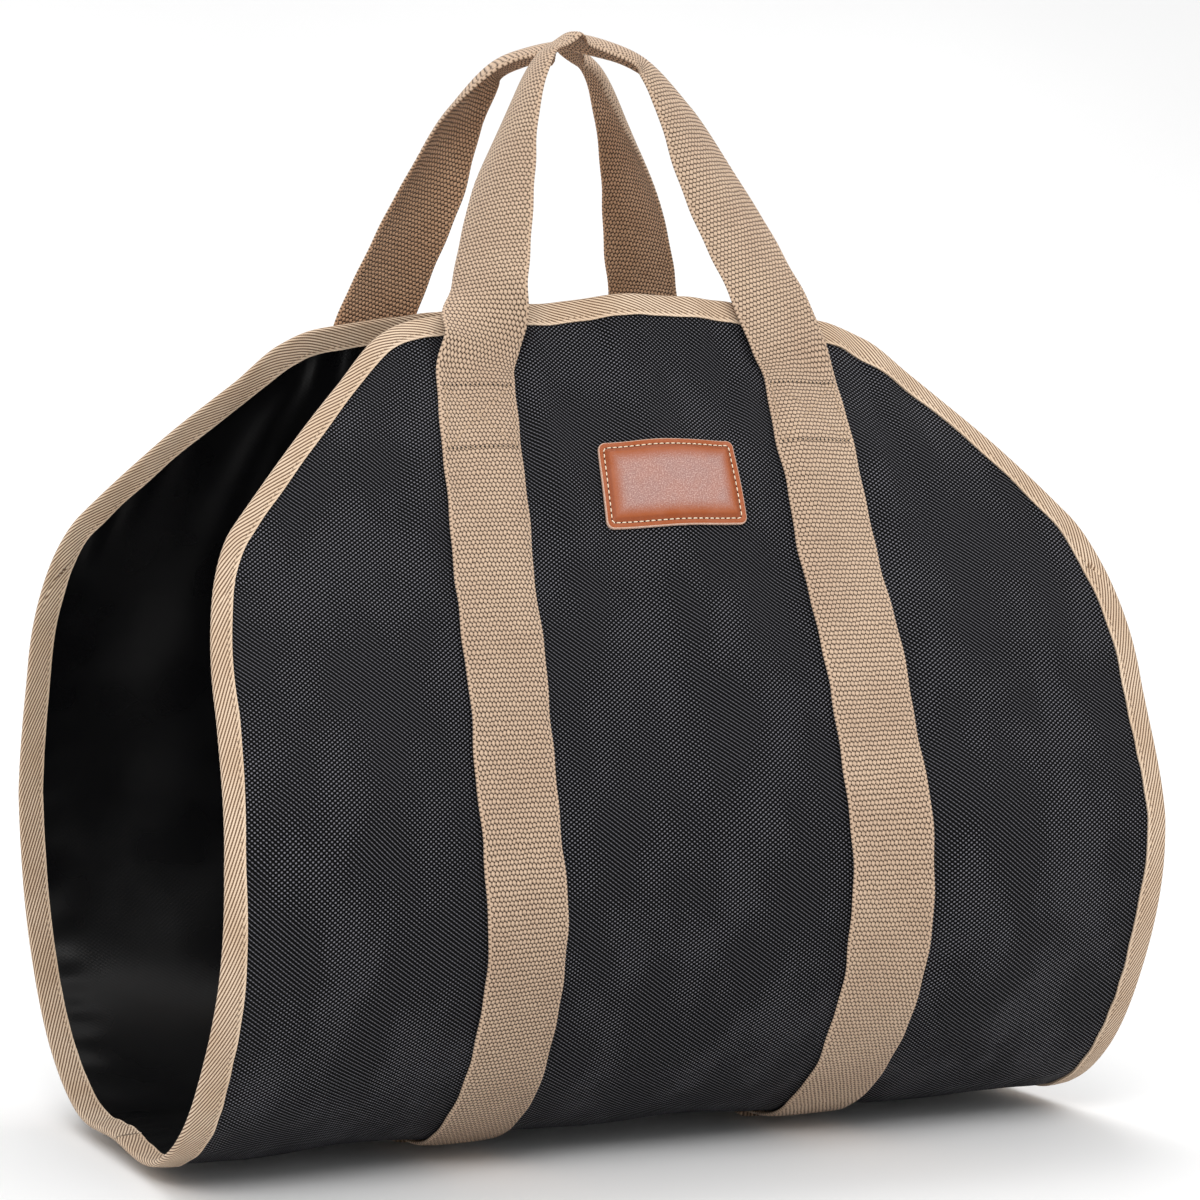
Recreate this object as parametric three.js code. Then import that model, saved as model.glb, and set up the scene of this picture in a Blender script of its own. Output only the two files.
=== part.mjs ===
// Firewood carrier tote, held up by its two carrying loops.
// One sheet of coated cloth hangs as a U, open at both ends, with tape folded over its edge.
// Webbing runs up both panels and makes a loop above each; a leather patch sits on the front.
// Millimetres. X runs across the panels, the front faces -Y, +Z is up, and the origin is the
// point under the hand, on top of the two loops.
import * as THREE from "three";

// Hanging body: depth at the fullest level, height from the bottom to the top edge
const BODY_DEPTH = 302;
const BODY_HEIGHT = 383;

// The flat sheet: width across the panels, and its length over both panels and the bottom as a
// share of the hanging curve's length
const BODY_WIDTH = 460;
const SHEET_SHARE = 0.93533;

// Cloth and its cut: corners cut off slantwise, their lower ends rounded, top edge arched
const CLOTH_THICKNESS = 1.6;
const CORNER_CUT_ACROSS = 100;
const CORNER_CUT_DOWN = 136;
const CORNER_ROUND_ACROSS = 18;
const CORNER_ROUND_DOWN = 54;
const CORNER_SOFTNESS = 5;
const TOP_ARCH = 11.5;

// Cloth off the plain section: height of the bulges, narrowing at the gathered top, and how
// far the hanging U sways to one side
const BULGE_HEIGHT = 16;
const GATHER = 13;
const SWAY = 8.8;

// Edge tape, folded over the edge
const TAPE_THICKNESS = 1;
const TAPE_REACH = 10;

// Webbing: two lines on each panel, sewn up to a bar of stitches below the top edge
const WEBBING_WIDTH = 38;
const WEBBING_THICKNESS = 2;
const WEBBING_SPACING = 178;
const SEWN_STOP = 38;
const BOTTOM_LAP = 60;

// Carrying loops: height of their tops above the top edge, and the line that they lie on there
const LOOP_RISE = 122;
const LOOP_SPREAD = 41.5;
const LOOP_BACK_SET = 16;
const GRIP_TURN = THREE.MathUtils.degToRad(24);

// Leather patch, between the lines of webbing
const PATCH_WIDTH = 72;
const PATCH_HEIGHT = 42;
const PATCH_THICKNESS = 1.8;
const PATCH_PADDING = 1.2;
const PATCH_BORDER = 4.5;
const PATCH_CORNER = 3.5;
const PATCH_DROP = 96;
const PATCH_SHIFT = 7;
const PATCH_STEPS = { corner: 2, long: 6, short: 3, spine: 4 };

// Room between pieces that touch, more of it under the tape, which bends two ways
const CLEARANCE = 0.3;
const TAPE_CLEARANCE = 0.6;

// Grid of the cloth: on each half, level rows up to a share of the open side's height, then
// rows that lean more and more along the edge, some below the sewn stop and some above it;
// and columns in each zone from the middle outwards
const LEVEL_ROWS = 14;
const SLANT_ROWS = 7;
const TOP_ROWS = 2;
const LEVEL_SHARE = 0.85;
const COLUMNS = { middle: 3, webbing: 4, corner: 1, wing: 5, tape: 3 };
const LOOP_STEPS = 12;

// Distance either side over which the slope of the cloth is taken
const STEP = 0.5;

// Sections of the hanging U, run on a little past the sheet's ends. up is a share of
// BODY_HEIGHT, front and back of half BODY_DEPTH, gather of GATHER and sway of SWAY.
const SECTIONS = [
  { up: 0, front: 0, back: 0, gather: 0, sway: 0 },
  { up: 0.004, front: 0.4, back: 0.4, gather: 0, sway: 0 },
  { up: 0.075, front: 0.671, back: 0.74, gather: 0, sway: 0 },
  { up: 0.211, front: 0.893, back: 0.958, gather: 0, sway: -0.2 },
  { up: 0.366, front: 0.967, back: 1.037, gather: 0.04, sway: -0.75 },
  { up: 0.517, front: 0.875, back: 0.977, gather: 0.3, sway: -1 },
  { up: 0.661, front: 0.74, back: 0.863, gather: 0.4, sway: -1 },
  { up: 0.8, front: 0.574, back: 0.713, gather: 0.6, sway: -0.5 },
  { up: 0.892, front: 0.424, back: 0.581, gather: 0.74, sway: 0 },
  { up: 1, front: 0.266, back: 0.467, gather: 0.87, sway: 0 },
  { up: 1.06, front: 0.177, back: 0.4, gather: 1, sway: 0 },
];

// Bulges of the cloth: panel is -1 in front and 1 behind. across and its reach are shares of
// half BODY_WIDTH, down (from the top edge) and its reach of BODY_HEIGHT, out of BULGE_HEIGHT.
const BULGES = [
  { panel: -1, across: 0.094, down: -0.19, acrossReach: 0.2, downReach: 0.3, out: 0.8 },
  { panel: -1, across: 0.14, down: 0.5, acrossReach: 0.26, downReach: 0.4, out: 0.35 },
  { panel: -1, across: -0.9, down: 0.72, acrossReach: 0.4, downReach: 0.27, out: 0.9 },
  { panel: -1, across: 0.59, down: 0.655, acrossReach: 0.25, downReach: 0.35, out: 0.75 },
  { panel: 1, across: -0.04, down: 0.03, acrossReach: 0.2, downReach: 0.3, out: 0.6 },
  { panel: 1, across: -0.9, down: 0.45, acrossReach: 0.35, downReach: 0.35, out: 0.7 },
  { panel: 1, across: 0.9, down: 0.5, acrossReach: 0.35, downReach: 0.35, out: 0.5 },
];

// Legs of a carrying loop, from the sewn stop to the top. rise is a share of their height, and
// back of their way to the top. wideAcross and wideTurn are shares of the way across and of the
// twist in the leg that turns far, nearAcross and nearTurn in the one that turns little. cup
// folds the two halves of the webbing towards each other, in degrees.
const LEG = [
  { rise: 0.13, wideAcross: 0.035, nearAcross: 0.057, back: -0.005, wideTurn: 0.03, nearTurn: 0.04, cup: 2 },
  { rise: 0.27, wideAcross: 0.15, nearAcross: 0.131, back: 0.2, wideTurn: 0.25, nearTurn: 0.03, cup: 4.5 },
  { rise: 0.4, wideAcross: 0.235, nearAcross: 0.199, back: 0.36, wideTurn: 0.47, nearTurn: 0.035, cup: 8 },
  { rise: 0.6, wideAcross: 0.352, nearAcross: 0.313, back: 0.565, wideTurn: 0.605, nearTurn: 0.2, cup: 14 },
  { rise: 0.8, wideAcross: 0.542, nearAcross: 0.419, back: 0.763, wideTurn: 0.855, nearTurn: 0.57, cup: 16 },
  { rise: 0.93, wideAcross: 0.754, nearAcross: 0.565, back: 0.945, wideTurn: 0.98, nearTurn: 0.93, cup: 18 },
  { rise: 0.98, wideAcross: 0.908, nearAcross: 0.767, back: 0.985, wideTurn: 1, nearTurn: 1, cup: 17 },
];

// Levels of the patch, from the middle of its back over its edge to its padded middle. inset is
// a share of PATCH_BORDER, rise of PATCH_THICKNESS, padding of PATCH_PADDING.
const PATCH_LEVELS = [
  { inset: 2.6, rise: 0, padding: 0 },
  { inset: 1, rise: 0, padding: 0 },
  { inset: 0, rise: 0, padding: 0 },
  { inset: 0, rise: 1, padding: 0 },
  { inset: 0.8, rise: 1, padding: 0 },
  { inset: 1.5, rise: 1, padding: 1 },
  { inset: 2.6, rise: 1, padding: 1 },
];

// Colour and roughness of each kind of cloth
const FINISHES = {
  cloth: { color: 0x202124, roughness: 0.75 },
  tape: { color: 0xcdb08c, roughness: 0.85 },
  webbing: { color: 0xc6a781, roughness: 0.9 },
  leather: { color: 0xa9603a, roughness: 0.45 },
};

const HALF_WIDTH = BODY_WIDTH / 2;
const HALF_DEPTH = BODY_DEPTH / 2;
const TOP_HALF = HALF_WIDTH - CORNER_CUT_ACROSS;
const WEBBING_INNER = (WEBBING_SPACING - WEBBING_WIDTH) / 2;
const WEBBING_OUTER = (WEBBING_SPACING + WEBBING_WIDTH) / 2;
const GRIP_HEIGHT = BODY_HEIGHT + LOOP_RISE;
const SEWN_ROWS = LEVEL_ROWS + SLANT_ROWS;
const ROWS = SEWN_ROWS + TOP_ROWS;

// The U in the YZ plane, from the front top edge under the bottom to the back top edge
const sectionPoint = (row, panel) =>
  new THREE.Vector3(
    0,
    panel * HALF_DEPTH * (panel < 0 ? row.front : row.back),
    BODY_HEIGHT * row.up
  );
const uCurve = new THREE.CatmullRomCurve3(
  [
    ...SECTIONS.slice(1).reverse().map((row) => sectionPoint(row, -1)),
    ...SECTIONS.map((row) => sectionPoint(row, 1)),
  ],
  false,
  "centripetal"
);
uCurve.arcLengthDivisions = 1200;

// Length of the whole curve, and the share of it that lies before the bottom's middle
const U_LENGTH = uCurve.getLength();
const U_LENGTHS = uCurve.getLengths();
const bottomShare = U_LENGTHS[(U_LENGTHS.length - 1) / 2] / U_LENGTH;
const HALF_LENGTH = (SHEET_SHARE * U_LENGTH) / 2;

// How far below the arch's top the cloth's edge lies, at a distance across from the middle
function edgeDrop(across) {
  const x = Math.abs(across);
  const arch = TOP_ARCH * Math.min(1, x / TOP_HALF) ** 2;
  const slope = (CORNER_CUT_DOWN - TOP_ARCH) / CORNER_CUT_ACROSS;
  const past = (x - TOP_HALF) / CORNER_SOFTNESS;
  const eased = Math.max(past, 0) + Math.log1p(Math.exp(-Math.abs(past)));
  const slant = slope * CORNER_SOFTNESS * eased;
  const round = THREE.MathUtils.clamp(1 - (HALF_WIDTH - x) / CORNER_ROUND_ACROSS, 0, 1);
  return arch + slant + CORNER_ROUND_DOWN * (1 - Math.sqrt(1 - round * round));
}

// A column of SECTIONS at any height, as a share
function sectionAt(column, up) {
  for (let i = 1; i < SECTIONS.length; i++) {
    const low = SECTIONS[i - 1];
    const high = SECTIONS[i];
    if (up <= high.up) {
      const share = THREE.MathUtils.clamp((up - low.up) / (high.up - low.up), 0, 1);
      return THREE.MathUtils.lerp(low[column], high[column], share);
    }
  }
  return SECTIONS[SECTIONS.length - 1][column];
}

// Middle of the cloth at a place on the flat sheet: across from the middle line, along from
// the bottom, negative in front
function clothMiddle(across, along) {
  const panel = along < 0 ? -1 : 1;
  const share = bottomShare + along / U_LENGTH;
  const point = uCurve.getPointAt(share);
  const tangent = uCurve.getTangentAt(share);
  const out = new THREE.Vector3(0, -tangent.z, tangent.y).multiplyScalar(-1);
  const down = (HALF_LENGTH - Math.abs(along)) / BODY_HEIGHT;
  let bulge = 0;
  for (const b of BULGES) {
    if (b.panel !== panel) continue;
    const dx = (across / HALF_WIDTH - b.across) / b.acrossReach;
    const dz = (down - b.down) / b.downReach;
    bulge += b.out * BULGE_HEIGHT * Math.exp(-dx * dx - dz * dz);
  }
  const up = point.z / BODY_HEIGHT;
  const gathered = GATHER * sectionAt("gather", up);
  const reach = THREE.MathUtils.clamp(across / WEBBING_OUTER, -1, 1);
  point.addScaledVector(out, bulge);
  const inner = 1 - (across / HALF_WIDTH) ** 2;
  point.x = across - gathered * reach + SWAY * sectionAt("sway", up) * inner;
  return point;
}

// The cloth's middle, its two slopes and the way out of it at a place on the sheet
function clothFrame(across, along) {
  const point = clothMiddle(across, along);
  const tx = clothMiddle(across + STEP, along).sub(clothMiddle(across - STEP, along)).normalize();
  const tv = clothMiddle(across, along + STEP).sub(clothMiddle(across, along - STEP)).normalize();
  const normal = new THREE.Vector3().crossVectors(tv, tx).normalize();
  return { point, tx, tv, normal };
}

// A point at a distance out of the cloth's middle, on the inside for negative ones
function clothPoint(across, along, out) {
  const { point, normal } = clothFrame(across, along);
  return point.addScaledVector(normal, out);
}

// Columns of the cloth's grid, from the middle to the side, with lines along the webbing
function zone(from, to, count) {
  return Array.from({ length: count }, (_, i) => from + ((to - from) * (i + 1)) / count);
}
const sideStations = [
  0,
  ...zone(0, WEBBING_INNER, COLUMNS.middle),
  ...zone(WEBBING_INNER, WEBBING_OUTER, COLUMNS.webbing),
  ...zone(WEBBING_OUTER, TOP_HALF, COLUMNS.corner),
  ...zone(TOP_HALF, HALF_WIDTH - CORNER_ROUND_ACROSS, COLUMNS.wing),
  ...zone(0, Math.PI / 2, COLUMNS.tape).map(
    (a) => HALF_WIDTH - CORNER_ROUND_ACROSS * (1 - Math.sin(a))
  ),
];
const columns = [...sideStations.slice(1).reverse().map((x) => -x), ...sideStations];

// Along the sheet at a row of the grid, for one column
function rowAlong(row, across) {
  const panel = row < 0 ? -1 : 1;
  const level = LEVEL_SHARE * (HALF_LENGTH - edgeDrop(HALF_WIDTH));
  const count = Math.abs(row);
  if (count <= LEVEL_ROWS) return (panel * level * count) / LEVEL_ROWS;
  const edgeAt = (x) => HALF_LENGTH - edgeDrop(x);
  const stopShare = 1 - SEWN_STOP / (edgeAt(WEBBING_SPACING / 2) - level);
  const share =
    count <= SEWN_ROWS
      ? (stopShare * (count - LEVEL_ROWS)) / SLANT_ROWS
      : stopShare + ((1 - stopShare) * (count - SEWN_ROWS)) / TOP_ROWS;
  return panel * THREE.MathUtils.lerp(level, edgeAt(across), share);
}
const rows = Array.from({ length: 2 * ROWS + 1 }, (_, i) => i - ROWS);

// A closed mesh from points and faces, turned so that its faces point out
function closedMesh(points, faces, finish) {
  let volume = 0;
  for (const [a, b, c] of faces) {
    volume += points[a].dot(new THREE.Vector3().crossVectors(points[b], points[c]));
  }
  const turned = volume < 0 ? faces.map(([a, b, c]) => [a, c, b]) : faces;
  const geometry = new THREE.BufferGeometry().setFromPoints(points);
  geometry.setIndex(turned.flat());
  geometry.computeVertexNormals();
  return new THREE.Mesh(geometry, new THREE.MeshStandardMaterial(finish));
}

// Two faces of a quad, split along its shorter diagonal
function quad(points, a, b, c, d) {
  const isFirst = points[a].distanceTo(points[c]) < points[b].distanceTo(points[d]);
  if (isFirst) return [[a, b, c], [a, c, d]];
  return [[a, b, d], [b, c, d]];
}

// Cloth: two grids, an outer and an inner face, joined all round their rim
function makeCanvas() {
  const points = [];
  const faces = [];
  const across = columns.length;
  const down = rows.length;
  for (const side of [1, -1]) {
    for (const row of rows) {
      for (const x of columns) {
        points.push(clothPoint(x, rowAlong(row, x), (side * CLOTH_THICKNESS) / 2));
      }
    }
  }
  const at = (face, j, i) => (face * down + j) * across + i;
  for (let j = 0; j + 1 < down; j++) {
    for (let i = 0; i + 1 < across; i++) {
      const outer = [at(0, j, i), at(0, j, i + 1), at(0, j + 1, i + 1), at(0, j + 1, i)];
      const inner = [at(1, j, i), at(1, j + 1, i), at(1, j + 1, i + 1), at(1, j, i + 1)];
      faces.push(...quad(points, ...outer), ...quad(points, ...inner));
    }
  }
  const rim = rimStations().map(({ j, i }) => [at(0, j, i), at(1, j, i)]);
  rim.forEach(([outer, inner], k) => {
    const [nextOuter, nextInner] = rim[(k + 1) % rim.length];
    faces.push(...quad(points, outer, inner, nextInner, nextOuter));
  });
  return closedMesh(points, faces, FINISHES.cloth);
}

// Places of the grid round the cloth's rim, in order
function rimStations() {
  const lastColumn = columns.length - 1;
  const lastRow = rows.length - 1;
  const stations = [];
  for (let i = 0; i < lastColumn; i++) stations.push({ j: 0, i });
  for (let j = 0; j < lastRow; j++) stations.push({ j, i: lastColumn });
  for (let i = lastColumn; i > 0; i--) stations.push({ j: lastRow, i });
  for (let j = lastRow; j > 0; j--) stations.push({ j, i: 0 });
  return stations;
}

// A closed mesh through rings of points; a ring's first half is one face of a strip and its
// second half the other face, backwards, so an end is closed by quads between the halves
function sweep(rings, isLoop, finish) {
  const size = rings[0].length;
  const points = rings.flat();
  const faces = [];
  const at = (k, i) => (k % rings.length) * size + (i % size);
  const last = isLoop ? rings.length : rings.length - 1;
  for (let k = 0; k < last; k++) {
    for (let i = 0; i < size; i++) {
      faces.push(...quad(points, at(k, i), at(k, i + 1), at(k + 1, i + 1), at(k + 1, i)));
    }
  }
  if (!isLoop) {
    const end = rings.length - 1;
    for (let i = 0; i + 1 < size / 2; i++) {
      const far = size - 1 - i;
      faces.push(...quad(points, at(0, i), at(0, far), at(0, far - 1), at(0, i + 1)));
      faces.push(...quad(points, at(end, i), at(end, i + 1), at(end, far - 1), at(end, far)));
    }
  }
  return closedMesh(points, faces, finish);
}

// Edge tape: a folded strip swept round the rim, clear of the cloth on both faces
function makeBinding() {
  const inner = CLOTH_THICKNESS / 2 + TAPE_CLEARANCE;
  const outer = inner + TAPE_THICKNESS;
  const fold = -TAPE_CLEARANCE - TAPE_THICKNESS;
  const section = [
    { inward: TAPE_REACH, out: outer },
    { inward: fold, out: outer },
    { inward: fold, out: -outer },
    { inward: TAPE_REACH, out: -outer },
    { inward: TAPE_REACH, out: -inner },
    { inward: -TAPE_CLEARANCE, out: -inner },
    { inward: -TAPE_CLEARANCE, out: inner },
    { inward: TAPE_REACH, out: inner },
  ];
  const stations = rimStations().map(({ j, i }) => ({
    across: columns[i],
    along: rowAlong(rows[j], columns[i]),
  }));
  const rings = stations.map((here, k) => {
    const before = stations[(k + stations.length - 1) % stations.length];
    const after = stations[(k + 1) % stations.length];
    const way = new THREE.Vector2(after.across - before.across, after.along - before.along);
    const inward = new THREE.Vector2(-way.y, way.x).normalize();
    if (inward.x * here.across + inward.y * here.along > 0) inward.negate();
    const edge = clothFrame(here.across, here.along);
    const outwards = new THREE.Vector3()
      .addScaledVector(edge.tx, -inward.x)
      .addScaledVector(edge.tv, -inward.y);
    return section.map((corner) => {
      if (corner.inward < 0) {
        return edge.point
          .clone()
          .addScaledVector(outwards, -corner.inward)
          .addScaledVector(edge.normal, corner.out);
      }
      const across = here.across + inward.x * corner.inward;
      const along = here.along + inward.y * corner.inward;
      return clothPoint(across, along, corner.out);
    });
  });
  return sweep(rings, true, FINISHES.tape);
}

// Points of a leg's middle, its width direction's angle and its cup, from LEG
function legStations(start, top, startTurn, topTurn, isWide) {
  return LEG.map((row) => ({
    point: new THREE.Vector3(
      THREE.MathUtils.lerp(start.x, top.x, isWide ? row.wideAcross : row.nearAcross),
      THREE.MathUtils.lerp(start.y, top.y, row.back),
      THREE.MathUtils.lerp(start.z, top.z, row.rise)
    ),
    turn: THREE.MathUtils.lerp(startTurn, topTurn, isWide ? row.wideTurn : row.nearTurn),
    cup: THREE.MathUtils.degToRad(row.cup),
  }));
}

// Webbing of one panel, from under the bottom up one line, over the loop and down the other
function makeWebbing(panel) {
  const inner = CLOTH_THICKNESS / 2 + CLEARANCE;
  const lapLift = WEBBING_THICKNESS + 2 * CLEARANCE;
  const stationsAcross = columns.filter(
    (x) => x > WEBBING_INNER - STEP && x < WEBBING_OUTER + STEP
  );
  const rowLength = rowAlong(1, WEBBING_SPACING / 2);
  const lapEnd = BOTTOM_LAP / 2;
  const lapRamp = BOTTOM_LAP / 3;

  // One sewn line, as rings from the bottom to the sewn stop
  function sewnLine(side) {
    const sewnRows = Array.from({ length: SEWN_ROWS + 1 }, (_, row) => (x) => rowAlong(row, x));
    const distances = [() => -lapEnd, ...sewnRows];
    return distances.map((distanceAt) => {
      const ring = { outer: [], inner: [] };
      for (const x of stationsAcross) {
        const distance = distanceAt(x);
        const rampEnd = lapEnd + rowLength + lapRamp;
        const past = THREE.MathUtils.clamp((rampEnd - distance) / lapRamp, 0, 1);
        const lift = inner + (panel > 0 ? lapLift * past : 0);
        const along = panel * distance;
        ring.inner.push(clothPoint(side * x, along, lift));
        ring.outer.push(clothPoint(side * x, along, lift + WEBBING_THICKNESS));
      }
      return ring;
    });
  }

  const left = sewnLine(-1);
  const right = sewnLine(1);
  const middleOf = (ring) => {
    const mid = ring.outer.length >> 1;
    return ring.outer[mid].clone().add(ring.inner[mid]).multiplyScalar(0.5);
  };
  const top = new THREE.Vector3(
    panel * Math.sin(GRIP_TURN) * (LOOP_SPREAD / 2),
    LOOP_BACK_SET + panel * Math.cos(GRIP_TURN) * (LOOP_SPREAD / 2),
    GRIP_HEIGHT - WEBBING_THICKNESS / 2
  );

  // The width follows the cloth at the start, and the line of the grip at the top
  const nearTop = -Math.PI / 2 - GRIP_TURN;
  const startTurn = (ring, nominal) => {
    const way = ring.outer[ring.outer.length - 1].clone().sub(ring.outer[0]);
    const tilt = Math.atan(way.y / way.x);
    return nominal + tilt;
  };
  const lastLeft = left[left.length - 1];
  const lastRight = right[right.length - 1];
  const starts = {
    left: startTurn(lastLeft, panel < 0 ? 0 : -Math.PI),
    right: startTurn(lastRight, panel < 0 ? -Math.PI : 0),
  };
  const leftEnd = middleOf(lastLeft);
  const rightEnd = middleOf(lastRight);
  const beforeLeft = middleOf(left[left.length - 2]);
  const beforeRight = middleOf(right[right.length - 2]);
  const up = legStations(leftEnd, top, starts.left, nearTop, panel < 0);
  const downLeg = legStations(rightEnd, top, starts.right, nearTop, panel > 0).reverse();
  const plain = (point, turn) => ({ point, turn, cup: 0 });
  const topCup = THREE.MathUtils.degToRad(LEG[LEG.length - 1].cup);
  const knots = [
    plain(beforeLeft, starts.left),
    plain(leftEnd, starts.left),
    ...up,
    { point: top, turn: nearTop, cup: topCup },
    ...downLeg,
    plain(rightEnd, starts.right),
    plain(beforeRight, starts.right),
  ];
  const path = new THREE.CatmullRomCurve3(
    knots.map((knot) => knot.point),
    false,
    "centripetal"
  );
  const inKnots = (t, value) => {
    const place = t * (knots.length - 1);
    const low = Math.min(Math.floor(place), knots.length - 2);
    return THREE.MathUtils.lerp(value(knots[low]), value(knots[low + 1]), place - low);
  };

  // Rings of the loop, between the two ends of the sewn lines
  const half = WEBBING_WIDTH / 2;
  const rings = [];
  const first = 1 / (knots.length - 1);
  const steps = 2 * LOOP_STEPS;
  for (let k = 1; k < steps; k++) {
    const t = first + ((1 - 2 * first) * k) / steps;
    const centre = path.getPoint(t);
    const tangent = path.getTangent(t);
    const turn = inKnots(t, (knot) => knot.turn);
    const cup = inKnots(t, (knot) => knot.cup);
    const width = new THREE.Vector3(Math.cos(turn), Math.sin(turn), 0);
    width.addScaledVector(tangent, -width.dot(tangent)).normalize();
    const normal = new THREE.Vector3().crossVectors(width, tangent);
    const ring = { outer: [], inner: [] };
    stationsAcross.forEach((x) => {
      const offset = x - WEBBING_INNER - half;
      const share = offset / half;
      const drop = half * Math.sin(cup) * share * share;
      const reach = offset * Math.cos(cup * Math.abs(share));
      const tilt = Math.atan2(2 * drop * Math.sign(share), half) * Math.abs(share);
      const middle = centre.clone().addScaledVector(width, reach).addScaledVector(normal, -drop);
      const faceOut = normal
        .clone()
        .multiplyScalar(Math.cos(tilt))
        .addScaledVector(width, Math.sin(tilt));
      ring.outer.push(middle.clone().addScaledVector(faceOut, WEBBING_THICKNESS / 2));
      ring.inner.push(middle.clone().addScaledVector(faceOut, -WEBBING_THICKNESS / 2));
    });
    rings.push(ring);
  }

  // The left line's columns run from its inner edge outwards and the right line's too, so
  // each is put in the order that the loop's width direction gives
  const ordered = (ring, isTurned) =>
    isTurned ? { outer: [...ring.outer].reverse(), inner: [...ring.inner].reverse() } : ring;
  const turned = panel < 0;
  const all = [
    ...left.map((ring) => ordered(ring, turned)),
    ...rings,
    ...right.reverse().map((ring) => ordered(ring, turned)),
  ];
  return sweep(
    all.map((ring) => [...ring.outer, ...[...ring.inner].reverse()]),
    false,
    FINISHES.webbing
  );
}

// Leather patch: rings of one rounded outline, from its back over its edge to the padded middle
function makePatch() {
  const back = CLOTH_THICKNESS / 2 + 2 * CLEARANCE;
  const outline = (inset) => {
    const points = [];
    for (let quarter = 0; quarter < 4; quarter++) {
      const upSide = quarter < 2 ? 1 : -1;
      const rightSide = quarter === 0 || quarter === 3 ? 1 : -1;
      const x = rightSide * (PATCH_WIDTH / 2 - inset - PATCH_CORNER);
      const y = upSide * (PATCH_HEIGHT / 2 - inset - PATCH_CORNER);
      for (let k = 0; k <= PATCH_STEPS.corner; k++) {
        const angle = ((quarter + k / PATCH_STEPS.corner) * Math.PI) / 2;
        points.push([x + PATCH_CORNER * Math.cos(angle), y + PATCH_CORNER * Math.sin(angle)]);
      }
      const isLong = quarter % 2 === 0;
      const [fromX, fromY] = points[points.length - 1];
      const steps = isLong ? PATCH_STEPS.long : PATCH_STEPS.short;
      for (let k = 1; k < steps; k++) {
        const way = 1 - (2 * k) / steps;
        points.push(isLong ? [fromX * way, fromY] : [fromX, fromY * way]);
      }
    }
    return points;
  };
  const centreAlong = -(HALF_LENGTH - PATCH_DROP);
  const place = ([x, y], out) => clothPoint(PATCH_SHIFT + x, centreAlong - y, out);
  const outOf = (level) => back + PATCH_THICKNESS * level.rise + PATCH_PADDING * level.padding;
  const rings = PATCH_LEVELS.map((level) =>
    outline(PATCH_BORDER * level.inset).map((p) => place(p, outOf(level)))
  );
  const size = rings[0].length;
  const points = rings.flat();
  const faces = [];
  const at = (k, i) => k * size + (i % size);
  for (let k = 0; k + 1 < rings.length; k++) {
    for (let i = 0; i < size; i++) {
      faces.push(...quad(points, at(k, i), at(k, i + 1), at(k + 1, i + 1), at(k + 1, i)));
    }
  }

  // The innermost rings are closed onto a short line of points along the patch's middle
  const spine = (PATCH_WIDTH - PATCH_HEIGHT) / 2;
  const last = PATCH_STEPS.spine;
  [0, rings.length - 1].forEach((level, isFront) => {
    const inner = outline(PATCH_BORDER * PATCH_LEVELS[level].inset);
    const base = points.length;
    for (let s = 0; s <= last; s++) {
      points.push(place([spine * (1 - (2 * s) / last), 0], outOf(PATCH_LEVELS[level])));
    }
    const nearest = (i) => {
      const s = Math.round(((1 - inner[i % size][0] / spine) * last) / 2);
      return base + THREE.MathUtils.clamp(s, 0, last);
    };
    for (let i = 0; i < size; i++) {
      const a = nearest(i);
      const b = nearest(i + 1);
      const fan = [[at(level, i), at(level, i + 1), b]];
      if (a !== b) fan.push([at(level, i), b, a]);
      faces.push(...(isFront ? fan : fan.map(([p, q, r]) => [q, p, r])));
    }
  });
  return closedMesh(points, faces, FINISHES.leather);
}

const tote = new THREE.Group();
const pieces = {
  canvas_body: makeCanvas(),
  edge_binding: makeBinding(),
  front_webbing: makeWebbing(-1),
  back_webbing: makeWebbing(1),
  leather_patch: makePatch(),
};
for (const [name, mesh] of Object.entries(pieces)) {
  mesh.name = name;
  tote.add(mesh);
}
tote.position.set(0, -LOOP_BACK_SET, -GRIP_HEIGHT);

export default tote;
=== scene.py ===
"""Looks of the firewood carrier tote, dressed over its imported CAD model.

The cloth, tape, webbing and patch are rebuilt finely over the same surface as the solids. Sizes
are in millimetres in the frame of the hanging body (origin under the bottom's middle) and are
turned into metres in the part's frame at the end. "across" and "along" are places on the flat
sheet: along is 0 at the bottom's middle and negative on the front panel.
"""
import math
from types import SimpleNamespace

import bpy
import numpy as np
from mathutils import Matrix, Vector


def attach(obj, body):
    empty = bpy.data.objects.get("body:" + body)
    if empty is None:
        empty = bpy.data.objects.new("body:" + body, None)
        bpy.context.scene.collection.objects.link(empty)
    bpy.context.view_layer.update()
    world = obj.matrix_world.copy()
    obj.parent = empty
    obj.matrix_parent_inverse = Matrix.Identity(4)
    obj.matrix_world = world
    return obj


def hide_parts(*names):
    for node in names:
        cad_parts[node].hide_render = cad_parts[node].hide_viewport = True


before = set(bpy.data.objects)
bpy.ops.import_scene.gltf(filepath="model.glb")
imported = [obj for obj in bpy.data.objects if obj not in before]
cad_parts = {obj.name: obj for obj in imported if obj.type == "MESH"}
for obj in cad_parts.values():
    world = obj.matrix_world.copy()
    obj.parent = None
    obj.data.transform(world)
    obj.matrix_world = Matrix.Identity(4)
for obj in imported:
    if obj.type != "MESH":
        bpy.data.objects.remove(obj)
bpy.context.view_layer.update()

# ---- The hanging sheet, with the sizes and tables of the CAD source ----
BODY_DEPTH, BODY_HEIGHT = 302, 383
BODY_WIDTH, SHEET_SHARE = 460, 0.93533
CORNER_CUT_ACROSS, CORNER_CUT_DOWN = 100, 136
CORNER_ROUND_ACROSS, CORNER_ROUND_DOWN, CORNER_SOFTNESS = 18, 54, 5
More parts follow.
